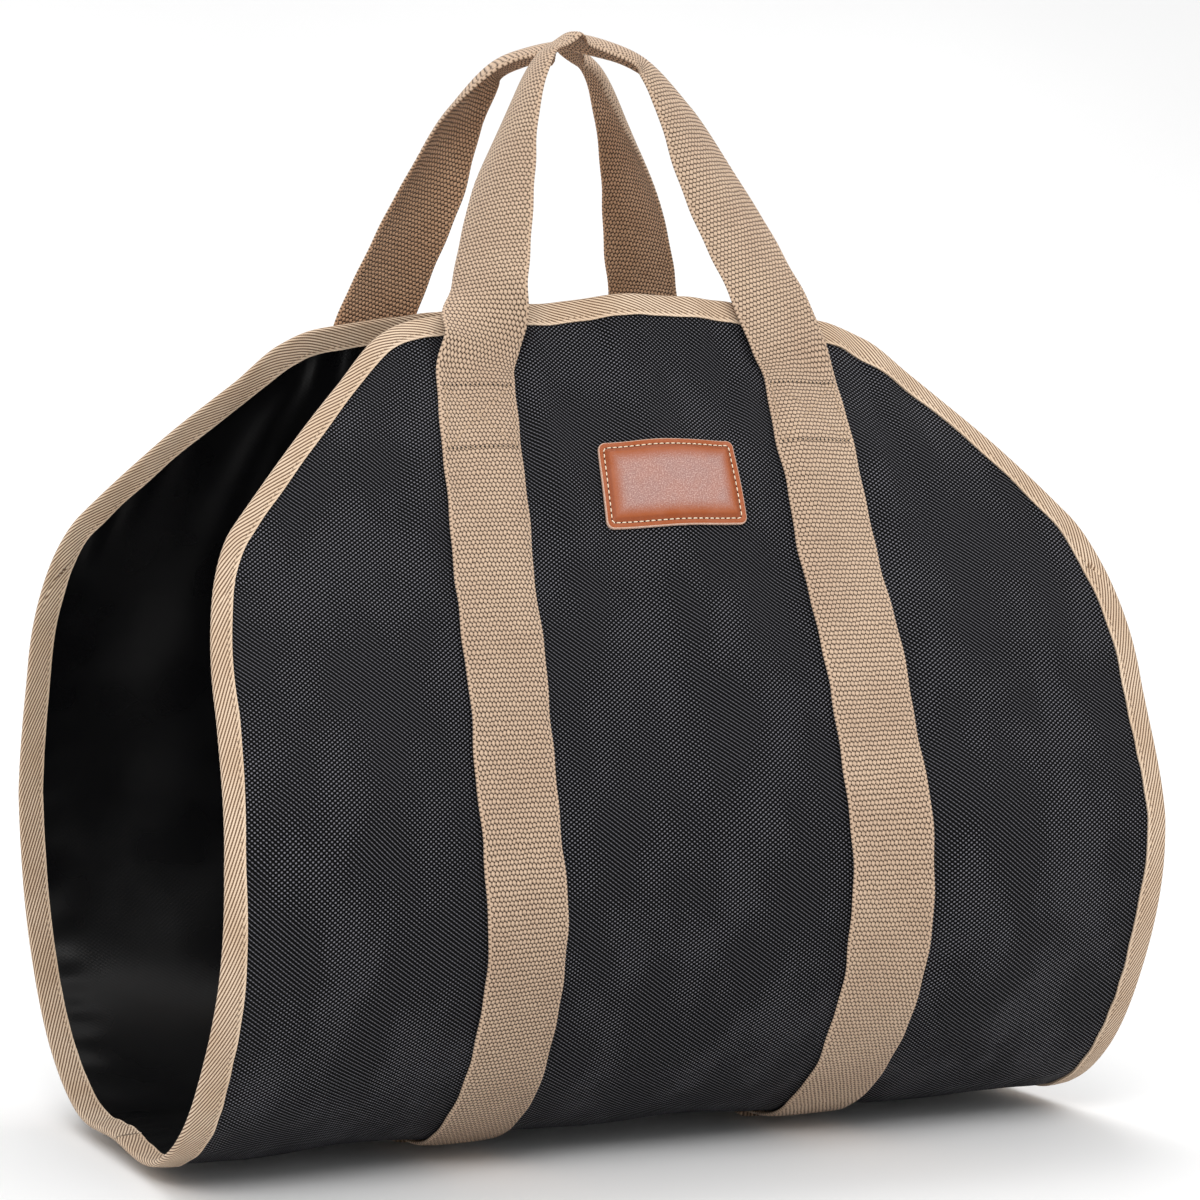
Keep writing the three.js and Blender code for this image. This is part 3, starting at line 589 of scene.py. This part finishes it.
def webbing_piece(strip):
    """A strip whose yarns stand out of its faces like a checkerboard, with plain selvedges."""
    offset = (np.arange(CELLS) + 0.5) * CELL_ACROSS - LINE_HALF
    offset = np.r_[-LINE_HALF, offset, LINE_HALF]
    at, rows, cols = strip.at, len(strip.at), len(offset)
    row_index, col_index = np.meshgrid(np.arange(rows), np.arange(cols), indexing="ij")
    is_peak = (row_index + col_index) % 2 == 0
    selvedge = (col_index <= 1) | (col_index >= cols - 2)
    height = np.where(selvedge, 0.4 + 0.2 * (row_index % 2), np.where(is_peak, 1.0, 0.45))
    rounding = np.sqrt(np.clip(1 - (np.abs(offset) / (LINE_HALF + 0.15)) ** 14, 0, 1))[None, :]
    half = (STRIP_HALF + YARN_RISE * height) * rounding
    wander = 0.25 * np.sin(at / 9.0) + 0.2 * np.sin(at / 4.1 + 2)
    across = offset[None, :] + (offset / LINE_HALF)[None, :] ** 9 * wander[:, None]
    outer = strip_points(strip, at[:, None], across, half)
    inner = strip_points(strip, at[:, None], across, -half)
    cell_at = np.arange(rows) * CELL_ALONG / 2
    flat = np.stack(np.broadcast_arrays(cell_at[:, None], offset[None, :]), -1).reshape(-1, 2)
    quads = sheet_quads(rows, cols)
    kinds = np.repeat([0, 1, 0], [len(q) for q in quads])
    edge = np.tile(selvedge.ravel().astype(float), 2)
    name = "webbing_front" if strip.panel < 0 else "webbing_back"
    points = np.vstack([outer.reshape(-1, 3), inner.reshape(-1, 3)])
    return make_mesh(name, points, np.vstack(quads), np.vstack([flat, flat]),
                     {"selvedge": edge}, kinds, sharp=89)


BOX_HEIGHT, BOX_HALF, BOX_STEP = 33, LINE_HALF - 3, 2.1
STITCH_OUT, HOLE_OUT = 1.08, 1.24


def box_places(strip, is_hole):
    """Places, ways and outs on the crossed boxes of stitches at the sewn lines' upper ends."""
    places, ways, outs = [], [], []
    half, height = BOX_HALF, BOX_HEIGHT
    rows = [((-half, 0), (half, 0)), ((-half, -height), (half, -height))]
    crossed = [((-half, 0), (half, -height)), ((half, 0), (-half, -height)),
               ((-half, 0), (-half, -height)), ((half, 0), (half, -height))]

    def on_strip(side, x, y, out):
        at = strip.sewn + y if side < 0 else strip.total - strip.sewn - y
        return strip_points(strip, at, x, out)

    for side in (-1, 1):
        for (x0, y0), (x1, y1) in rows if is_hole else rows + crossed:
            length = math.hypot(x1 - x0, y1 - y0)
            steps = max(2, int(round(length / BOX_STEP)))
            dx, dy = (x1 - x0) / length, (y1 - y0) / length
            for k in range(steps + is_hole):
                t = (k + (0 if is_hole else 0.5)) / steps
                x, y = x0 + (x1 - x0) * t, y0 + (y1 - y0) * t
                place = on_strip(side, x, y, HOLE_OUT if is_hole else STITCH_OUT)
                places.append(place)
                ways.append(on_strip(side, x + dx, y + dy, 1.0)
                            - on_strip(side, x - dx, y - dy, 1.0))
                outs.append(on_strip(side, x, y, 2.0) - place)
    return places, ways, outs


def box_stitches(strip):
    name = "box_stitches_front" if strip.panel < 0 else "box_stitches_back"
    return stitches(name, *box_places(strip, False), 1.3, 0.5, 0.3)


# painted shade: dark blobs at the stitch holes, standing for the shade inside them
def box_holes(strip):
    name = "box_holes_front" if strip.panel < 0 else "box_holes_back"
    return stitches(name, *box_places(strip, True), 1.0, 1.25, 0.34, 6, 3)


# ---- Leather patch ----
PATCH_WIDTH, PATCH_HEIGHT, PATCH_DROP, PATCH_SHIFT, PATCH_CORNER = 72, 42, 96, 7, 3.5
PATCH_BACK, PATCH_THICKNESS = 0.75, 1.8
PATCH_FACE = PATCH_BACK + PATCH_THICKNESS
PATCH_SEAM, PATCH_STITCH_STEP, STITCH_SINK = 2.75, 2.95, 0.22
PATCH_LEVELS = [  # inset from the outline, out from the face; first the back, then the edge
    (19.5, -1.8), (4, -1.8), (0.35, -1.8), (0, -1.45),
    (0, -0.45), (0.15, -0.2), (0.5, 0), (1.2, 0.05),
    (2.1, -0.02), (2.5, -0.2), (2.75, -0.28), (3.0, -0.2),
    (3.4, 0.05), (4.0, 0.45), (4.8, 0.85), (6, 1.2),
    (7.5, 1.4), (10, 1.5), (13, 1.52), (16, 1.5), (19.5, 1.5),
]
PATCH_EDGE_LEVELS = 5


def patch_outline(inset, count=240):
    """The patch's rounded outline, so far in from its edge."""
    radius = max(PATCH_CORNER - inset * 0.6, 0.4)
    w, h = PATCH_WIDTH / 2 - inset - radius, PATCH_HEIGHT / 2 - inset - radius
    w, h = max(w, 0.01), max(h, 0.01)
    path = []
    for quarter, (sx, sy) in enumerate(((1, 1), (-1, 1), (-1, -1), (1, -1))):
        for t in np.linspace(0, 1, 9):
            a = (quarter + t) * math.pi / 2
            path.append((sx * w + radius * math.cos(a), sy * h + radius * math.sin(a)))
    path = np.array(path + path[:1])
    anchor = np.array([math.atan2(y / PATCH_HEIGHT, x / PATCH_WIDTH) for x, y in path])
    anchor = np.unwrap(anchor)
    t = np.linspace(anchor[0], anchor[0] + 2 * math.pi, count, endpoint=False)
    return np.c_[np.interp(t, anchor, path[:, 0]), np.interp(t, anchor, path[:, 1])]


def patch_place(x, y, out):
    return cloth_point(PATCH_SHIFT + x, -(HALF_LENGTH - PATCH_DROP) - y, out)


def patch_piece():
    """A crowned cushion of rings from the middle of its back to the middle of its face."""
    points, flat, depth = [], [], []
    for inset, out in PATCH_LEVELS:
        ring = patch_outline(inset)
        points.append(patch_place(ring[:, 0], ring[:, 1], PATCH_FACE + out))
        flat.append(ring)
        depth.append(np.full(len(ring), inset))
    count = len(flat[0])
    quads = [grid_quads(len(PATCH_LEVELS), count, closed_cols=True)]
    half = count // 2
    for level in (0, len(PATCH_LEVELS) - 1):
        base = level * count
        k = np.arange(half - 1)
        cap = np.stack([base + k, base + k + 1, base + count - 2 - k, base + count - 1 - k], -1)
        quads.append(cap if level else cap[:, ::-1])
    kinds = np.zeros(sum(len(q) for q in quads), int)
    rings = np.arange(len(quads[0])) // count
    kinds[: len(quads[0])][rings <= PATCH_EDGE_LEVELS] = 1
    return make_mesh("patch", np.vstack(points), np.vstack(quads), np.vstack(flat),
                     {"inset": np.concatenate(depth)}, kinds, sharp=70)


def patch_stitches():
    """The threads round the patch, and the pits between them."""
    ring = patch_outline(PATCH_SEAM, 1200)
    closed = np.vstack([ring, ring[:1]])
    distance = lengths_of(closed)
    count = int(round(distance[-1] / PATCH_STITCH_STEP))
    at = np.arange(count) * distance[-1] / count
    half_way = at + distance[-1] / count / 2

    def place(s, rise=0):
        s = s % distance[-1]
        x, y = (np.interp(s, distance, closed[:, k]) for k in (0, 1))
        return patch_place(x, y, PATCH_FACE - STITCH_SINK + rise)

    here, pit = place(at), place(half_way)
    ways, pit_ways = place(at + 0.8) - place(at - 0.8), place(half_way + 0.8) - pit
    outs, pit_outs = place(at, 1) - here, place(half_way, 1) - pit
    threads = stitches("patch_stitches", here, ways, outs, 2.0, 0.6, 0.5, 8, 7)
    # painted shade: the pits are dark blobs for the shade in the stitch holes
    pits = stitches("patch_pits", pit, pit_ways, pit_outs, 1.0, 0.75, 0.12, 6, 3)
    return threads, pits


# ---- Materials ----
WEAVE_ACROSS, WEAVE_ALONG = 2.6, 1.95


def srgb(r, g, b):
    """A colour of 0 to 255 as Blender's linear one."""
    def one(c):
        c /= 255
        return c / 12.92 if c <= 0.04045 else ((c + 0.055) / 1.055) ** 2.4
    return (one(r), one(g), one(b), 1)


class Nodes:
    """Short names for making a material's nodes."""

    def __init__(self, name):
        self.material = bpy.data.materials.new(name)
        self.material.use_nodes = True
        self.tree = self.material.node_tree
        self.shader = self.tree.nodes["Principled BSDF"]
        uv = self.tree.nodes.new("ShaderNodeUVMap")
        uv.uv_map = "flat"
        self.flat = uv.outputs[0]
        split = self.tree.nodes.new("ShaderNodeSeparateXYZ")
        self.link(self.flat, split.inputs[0])
        self.x, self.y = split.outputs[0], split.outputs[1]

    def link(self, a, b):
        self.tree.links.new(a, b)

    def put(self, socket, value):
        if isinstance(value, bpy.types.NodeSocket):
            self.link(value, socket)
        else:
            socket.default_value = value

    def math(self, kind, a, b=None, c=None):
        node = self.tree.nodes.new("ShaderNodeMath")
        node.operation = kind
        for k, v in enumerate((a, b, c)):
            if v is not None:
                self.put(node.inputs[k], v)
        return node.outputs[0]

    def mark(self, name):
        node = self.tree.nodes.new("ShaderNodeAttribute")
        node.attribute_name = name
        return node.outputs["Fac"]

    def noise(self, scale, detail=3, rough=0.55, where=None, stretch=None):
        node = self.tree.nodes.new("ShaderNodeTexNoise")
        node.inputs["Scale"].default_value = scale
        node.inputs["Detail"].default_value = detail
        node.inputs["Roughness"].default_value = rough
        source = where or self.flat
        if stretch:
            mapping = self.tree.nodes.new("ShaderNodeMapping")
            mapping.inputs["Scale"].default_value = stretch
            self.link(source, mapping.inputs["Vector"])
            source = mapping.outputs[0]
        self.link(source, node.inputs["Vector"])
        return node.outputs["Fac"]

    def object_place(self):
        return self.tree.nodes.new("ShaderNodeTexCoord").outputs["Object"]

    def voronoi(self, scale):
        node = self.tree.nodes.new("ShaderNodeTexVoronoi")
        node.inputs["Scale"].default_value = scale
        self.link(self.flat, node.inputs["Vector"])
        return node.outputs["Distance"]

    def spread(self, value, low, high, to_low=0.0, to_high=1.0):
        node = self.tree.nodes.new("ShaderNodeMapRange")
        node.interpolation_type = "SMOOTHSTEP"
        self.put(node.inputs["Value"], value)
        limits = {"From Min": low, "From Max": high, "To Min": to_low, "To Max": to_high}
        for key, v in limits.items():
            node.inputs[key].default_value = v
        return node.outputs["Result"]

    def mix(self, share, a, b):
        node = self.tree.nodes.new("ShaderNodeMix")
        node.data_type = "RGBA"
        self.put(node.inputs[0], share)
        self.put(node.inputs[6], a)
        self.put(node.inputs[7], b)
        return node.outputs[2]

    def wave(self, value, period):
        """Cosine of a place in metres, with its period in millimetres."""
        return self.math("COSINE", self.math("MULTIPLY", value, 2 * math.pi * 1000 / period))

    def bump(self, height, distance, strength):
        node = self.tree.nodes.new("ShaderNodeBump")
        node.inputs["Strength"].default_value = strength
        node.inputs["Distance"].default_value = distance
        self.link(height, node.inputs["Height"])
        self.link(node.outputs[0], self.shader.inputs["Normal"])

    def set(self, **values):
        for key, value in values.items():
            self.put(self.shader.inputs[key.replace("_", " ")], value)


def cloth_outside():
    """Plain weave seen as dashes in two slanting sets, the second stronger in some patches."""
    n = Nodes("cloth_outside")
    drift = n.math("MULTIPLY", n.noise(9, 2, 0.4), 5)
    a = n.math("ADD", n.math("MULTIPLY", n.x, 2 * math.pi * 1000 / WEAVE_ACROSS), drift)
    b = n.math("MULTIPLY", n.y, 2 * math.pi * 1000 / WEAVE_ALONG)
    patches = n.spread(n.noise(30, 2, 0.5, stretch=(1, 0.6, 1)), 0.36, 0.66, 0.1, 0.72)
    falling = n.math("MULTIPLY", n.math("COSINE", n.math("SUBTRACT", a, b)), 0.6)
    rising = n.math("MULTIPLY", n.math("COSINE", n.math("ADD", a, b)), patches)
    weave = n.math("ADD", falling, rising)
    fibres = n.noise(2300, 2, 0.6)
    painted_sheen_tops = n.math("MULTIPLY", n.spread(weave, 0.16, 1.0), n.spread(fibres, 0.2, 0.8, 0.7, 1.2))
    # painted sheen: the yarn tops are coloured light grey for the sheen on the black cloth; the
    # near-black gaps are the cloth's own colour
    n.set(Base_Color=n.mix(painted_sheen_tops, srgb(2, 2, 2), srgb(124, 123, 130)))
    n.set(Roughness=n.spread(painted_sheen_tops, 0, 1, 0.8, 0.45), Specular_IOR_Level=0.1)
    n.bump(weave, 0.00045, 0.8)
    return n.material


def cloth_inside():
    n = Nodes("cloth_inside")
    weave = n.math("MULTIPLY", n.wave(n.x, WEAVE_ACROSS), n.wave(n.y, WEAVE_ALONG))
    soft = n.noise(26, 2, 0.4)
    n.set(Base_Color=srgb(5, 5, 6), Roughness=n.spread(soft, 0.3, 0.7, 0.26, 0.33))
    n.set(Specular_IOR_Level=0.34)
    relief = n.math("ADD", n.math("MULTIPLY", weave, 0.03), n.math("MULTIPLY", soft, 0.3))
    n.bump(relief, 0.002, 0.2)
    return n.material


def webbing_material(name, gap, low, high, worn_and_valley_shade):
    """Rounded lumps where a lengthwise yarn passes over a cross one, laid like bricks."""
    n = Nodes(name)
    column = n.math("MULTIPLY_ADD", n.y, 1000 / CELL_ACROSS, CELLS / 2 + 4)
    whole = n.math("FLOOR", column)
    u = n.math("ABSOLUTE", n.math("SUBTRACT", n.math("SUBTRACT", column, whole), 0.5))
    slant = n.math("MULTIPLY", n.math("SUBTRACT", column, whole), 0.1)
    row = n.math("MULTIPLY_ADD", n.x, 1000 / CELL_ALONG, n.math("MULTIPLY", whole, 0.5))
    uneven = n.math("MULTIPLY", n.noise(210, 2, 0.5), 0.42)
    row = n.math("ADD", n.math("ADD", row, slant), uneven)
    v = n.math("ABSOLUTE", n.math("SUBTRACT", n.math("FRACT", row), 0.5))

    def lump(du, dv):
        du, dv = n.math("DIVIDE", du, 1.1), n.math("DIVIDE", dv, 0.29)
        reach = n.math("ADD", n.math("MULTIPLY", du, du), n.math("MULTIPLY", dv, dv))
        return n.math("SUBTRACT", 1.0, reach)

    own = lump(u, v)
    beside = lump(n.math("SUBTRACT", 1.0, u), n.math("SUBTRACT", 0.5, v))
    lumps = n.math("MAXIMUM", own, beside)
    edge = n.mark("selvedge")
    scallop = n.spread(n.wave(n.x, CELL_ALONG / 2), -1, 0.5, 0.2, 0.8)
    lumps = n.math("ADD", n.math("MULTIPLY", lumps, n.math("SUBTRACT", 1.0, edge)),
                   n.math("MULTIPLY", scallop, edge))
    fibres = n.noise(1100, 3, 0.6, stretch=(0.4, 1.5, 1))
    tone = n.noise(22, 3, 0.6)
    light = n.mix(n.spread(tone, 0.3, 0.7), low, high)
    # random fibres mix in the worn colour
    light = n.mix(n.spread(fibres, 0.35, 0.8, 0, 0.25), light, worn_and_valley_shade)
    # painted shade: the same colour darkens the low sides of each lump
    light = n.mix(n.spread(lumps, 0.2, 0.85, 0.55, 0), light, worn_and_valley_shade)
    # painted shade: the gap colour fills the hollows between the lumps
    n.set(Base_Color=n.mix(n.spread(lumps, 0.08, 0.5), gap, light), Roughness=0.88)
    n.set(Specular_IOR_Level=0.25, Sheen_Weight=0.1, Sheen_Roughness=0.5)
    n.bump(n.math("MULTIPLY_ADD", fibres, 0.25, lumps), 0.0006, 0.9)
    return n.material


def tape_material():
    """Twill ribs that slant a little to the tape, and a plain hem."""
    n = Nodes("tape_beige")
    hem = n.mark("hem")
    skew = n.math("ADD", n.math("MULTIPLY", n.x, 0.38), n.math("MULTIPLY", n.y, 0.92))
    ribs = n.wave(skew, RIB_STEP)
    threads = n.math("MULTIPLY", n.wave(n.x, 0.9), 0.1)
    plain = n.spread(hem, 0.0005, 0.0016, 0.75, 0)
    relief = n.math("ADD", n.math("ADD", ribs, threads), plain)
    height = n.spread(relief, -1.0, 0.35)
    tone = n.noise(30, 3, 0.6)
    light = n.mix(n.spread(tone, 0.3, 0.7), srgb(212, 185, 157), srgb(226, 202, 176))
    # painted shade: the dark colour fills the grooves between the ribs
    colour = n.mix(height, srgb(108, 78, 54), light)
    from_line = n.math("ABSOLUTE", n.math("SUBTRACT", hem, TAPE_SEAM / 1000))
    holes = n.math("MULTIPLY", n.spread(n.wave(n.x, STITCH_STEP), -0.95, -0.75, 0.6, 0),
                   n.spread(from_line, 0.0001, 0.0004, 1, 0))
    # painted shade: dark dots at the stitch holes along the seam
    n.set(Base_Color=n.mix(holes, colour, srgb(96, 72, 54)), Roughness=0.88)
    n.set(Specular_IOR_Level=0.25, Sheen_Weight=0.1, Sheen_Roughness=0.5)
    n.bump(n.math("SUBTRACT", height, holes), 0.00035, 0.9)
    return n.material


def thread_material(name, low, high):
    n = Nodes(name)
    twist = n.wave(n.math("ADD", n.x, n.math("MULTIPLY", n.y, 0.8)), 0.55)
    # painted shade: the low colour lies in the grooves of the twist, the high one on its crowns
    n.set(Base_Color=n.mix(n.spread(twist, -1, 1), low, high), Roughness=0.6)
    n.set(Specular_IOR_Level=0.35)
    n.bump(twist, 0.00006, 0.7)
    return n.material


def leather_face():
    n = Nodes("patch_leather")
    inset = n.mark("inset")
    grain = n.voronoi(1500)
    fine = n.noise(1500, 3, 0.65)
    cloudy = n.noise(70, 4, 0.6)
    middle = n.spread(inset, 4.8, 12.5)
    # painted sheen: the crowned middle turns a pale pinkish colour; the orange-brown towards the
    # edges is the leather's own colour
    base = n.mix(middle, srgb(156, 80, 38), srgb(152, 114, 106))
    base = n.mix(n.spread(cloudy, 0.35, 0.7, 0, 0.3), base, srgb(178, 116, 92))
    # painted highlight: light flecks in the grain of the middle
    painted_grain_glints = n.math("MULTIPLY", n.spread(fine, 0.44, 0.66, 0, 0.6), middle)
    base = n.mix(painted_grain_glints, base, srgb(218, 184, 174))
    groove = n.spread(n.math("ABSOLUTE", n.math("SUBTRACT", inset, 4.0)), 0.4, 1.6, 0.4, 0)
    base = n.mix(groove, base, srgb(118, 50, 20))
    n.set(Base_Color=base, Roughness=n.spread(cloudy, 0.3, 0.7, 0.3, 0.42))
    n.set(Specular_IOR_Level=0.22)
    relief = n.math("ADD", n.math("MULTIPLY", grain, 0.8), n.math("MULTIPLY", fine, 0.5))
    n.bump(relief, 0.00025, 0.5)
    return n.material


def leather_edge():
    n = Nodes("patch_edge")
    fuzz = n.noise(1400, 4, 0.7, where=n.object_place())
    # the raw cut edge is paler leather, made lighter still as a painted highlight where it catches
    # the light
    n.set(Base_Color=n.mix(n.spread(fuzz, 0.3, 0.7), srgb(184, 146, 126), srgb(222, 190, 170)))
    n.set(Roughness=0.8, Specular_IOR_Level=0.3)
    n.bump(fuzz, 0.0003, 0.6)
    return n.material


def finish_piece(piece, slot, replaced, *materials):
    """Gives a piece its materials, and hides the solid that it stands for, if any. slot is not
    used.
    """
    for material in materials:
        piece.data.materials.append(material)
    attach(piece, "root")
    if replaced:
        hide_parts(replaced)
    return piece


webbing_outer = webbing_material("webbing_beige", srgb(50, 34, 22), srgb(204, 176, 151),
                                 srgb(215, 188, 162), srgb(164, 133, 106))
# painted shade: the inner faces get a darker copy of the same webbing colours
webbing_inner_shaded = webbing_material("webbing_beige_inner_shaded", srgb(34, 21, 13), srgb(196, 154, 120),
                                 srgb(214, 173, 139), srgb(150, 112, 83))
tape_look = tape_material()
cream = thread_material("thread_cream", srgb(226, 202, 168), srgb(255, 244, 222))
beige = thread_material("thread_beige", srgb(172, 142, 112), srgb(222, 194, 164))

cloth = finish_piece(cloth_piece(), "coated_cloth", "canvas_body",
                     cloth_outside(), cloth_inside())
tape = finish_piece(tape_piece(), "edge_tape", "edge_binding", tape_look)
tape_sewing = [finish_piece(tape_stitches(side), "edge_tape", None, beige) for side in (1, -1)]
# painted shade: near-black material for the blobs at the stitch holes
hole_shade = thread_material("painted_hole_shade", srgb(22, 15, 10), srgb(38, 27, 19))
strips, crosses = [], []
for panel_side, node_name in ((-1, "front_webbing"), (1, "back_webbing")):
    rows_of_strip = strip_frames(panel_side, CELL_ALONG / 2)
    strips.append(finish_piece(webbing_piece(rows_of_strip), "webbing", node_name,
                               webbing_outer, webbing_inner_shaded))
    crosses.append(finish_piece(box_stitches(rows_of_strip), "webbing", None, beige))
    crosses.append(finish_piece(box_holes(rows_of_strip), "webbing", None, hole_shade))
patch = finish_piece(patch_piece(), "patch_leather", "leather_patch",
                     leather_face(), leather_edge())
patch_threads, patch_pits = patch_stitches()
patch_sewing = [finish_piece(patch_threads, "patch_leather", None, cream),
                finish_piece(patch_pits, "patch_leather", None, hole_shade)]

# ---- Stage, light and camera ----
FLOOR = -0.516


def stage_material():
    n = Nodes("stage_pale")
    tone = n.noise(0.8, 2, 0.5, where=n.object_place())
    n.set(Base_Color=n.mix(n.spread(tone, 0.3, 0.7), (0.86, 0.86, 0.86, 1), (0.9, 0.9, 0.9, 1)))
    n.set(Roughness=0.8, Specular_IOR_Level=0.2)
    return n.material


def make_stage():
    """A pale floor that curves up behind the tote, turned like the camera."""
    radius, reach, width = 4.5, 0.9, 9.0
    profile = [(-7.0, FLOOR), (reach, FLOOR)]
    for a in np.linspace(0, math.pi / 2, 25)[1:]:
        profile.append((reach + radius * math.sin(a), FLOOR + radius * (1 - math.cos(a))))
    points = [(side * width, y, z) for y, z in profile for side in (-1, 1)]
    quads = [(2 * k, 2 * k + 1, 2 * k + 3, 2 * k + 2) for k in range(len(profile) - 1)]
    mesh = bpy.data.meshes.new("stage_floor")
    mesh.from_pydata(points, [], quads)
    mesh.polygons.foreach_set("use_smooth", np.ones(len(quads), bool))
    mesh.materials.append(stage_material())
    floor = bpy.data.objects.new("stage_floor", mesh)
    floor.rotation_euler = (0, 0, -math.radians(24))
    bpy.context.scene.collection.objects.link(floor)


def area_light(name, place, target, size, power):
    data = bpy.data.lights.new(name, "AREA")
    data.shape = "RECTANGLE"
    data.size, data.size_y = size
    data.energy = power
    lamp = bpy.data.objects.new(name, data)
    lamp.location = place
    aim = Vector(target) - Vector(place)
    lamp.rotation_euler = aim.to_track_quat("-Z", "Y").to_euler()
    lamp.visible_camera = False
    bpy.context.scene.collection.objects.link(lamp)


make_stage()
MIDDLE = (0, 0, -0.28)
area_light("key_light", (-1.3, -2.2, 1.6), MIDDLE, (1.6, 1.2), 38)
area_light("front_light", (1.05, -1.3, 1.75), MIDDLE, (0.9, 0.9), 11)
area_light("top_light", (0.3, 1.4, 2.4), (0, 0.8, -0.5), (2.4, 2.4), 46)

world = bpy.data.worlds.new("studio")
world.use_nodes = True
world.node_tree.nodes["Background"].inputs["Color"].default_value = (1, 1, 1, 1)
world.node_tree.nodes["Background"].inputs["Strength"].default_value = 0.76
bpy.context.scene.world = world
bpy.context.scene.view_settings.view_transform = "Standard"

# The camera that was fitted to the photo: its turn and pitch, focal length and place
TURN, PITCH = math.radians(24.05), math.radians(3.25)
FOCAL_PIXELS, PHOTO_PIXELS, SENSOR = 3673.9, 1200, 36
CAMERA_PLACE = np.array([-702.4, -1594.2, 337.6])
level_x, level_y = math.sin(TURN) * math.cos(PITCH), math.cos(TURN) * math.cos(PITCH)
ahead = Vector((level_x, level_y, -math.sin(PITCH)))
camera_data = bpy.data.cameras.new("photo_camera")
camera_data.sensor_width = SENSOR
camera_data.lens = FOCAL_PIXELS / PHOTO_PIXELS * SENSOR
camera_data.clip_start, camera_data.clip_end = 0.05, 60
camera = bpy.data.objects.new("photo_camera", camera_data)
camera.location = (CAMERA_PLACE + TO_PART) / 1000
camera.rotation_euler = ahead.to_track_quat("-Z", "Y").to_euler()
bpy.context.scene.collection.objects.link(camera)
bpy.context.scene.camera = camera
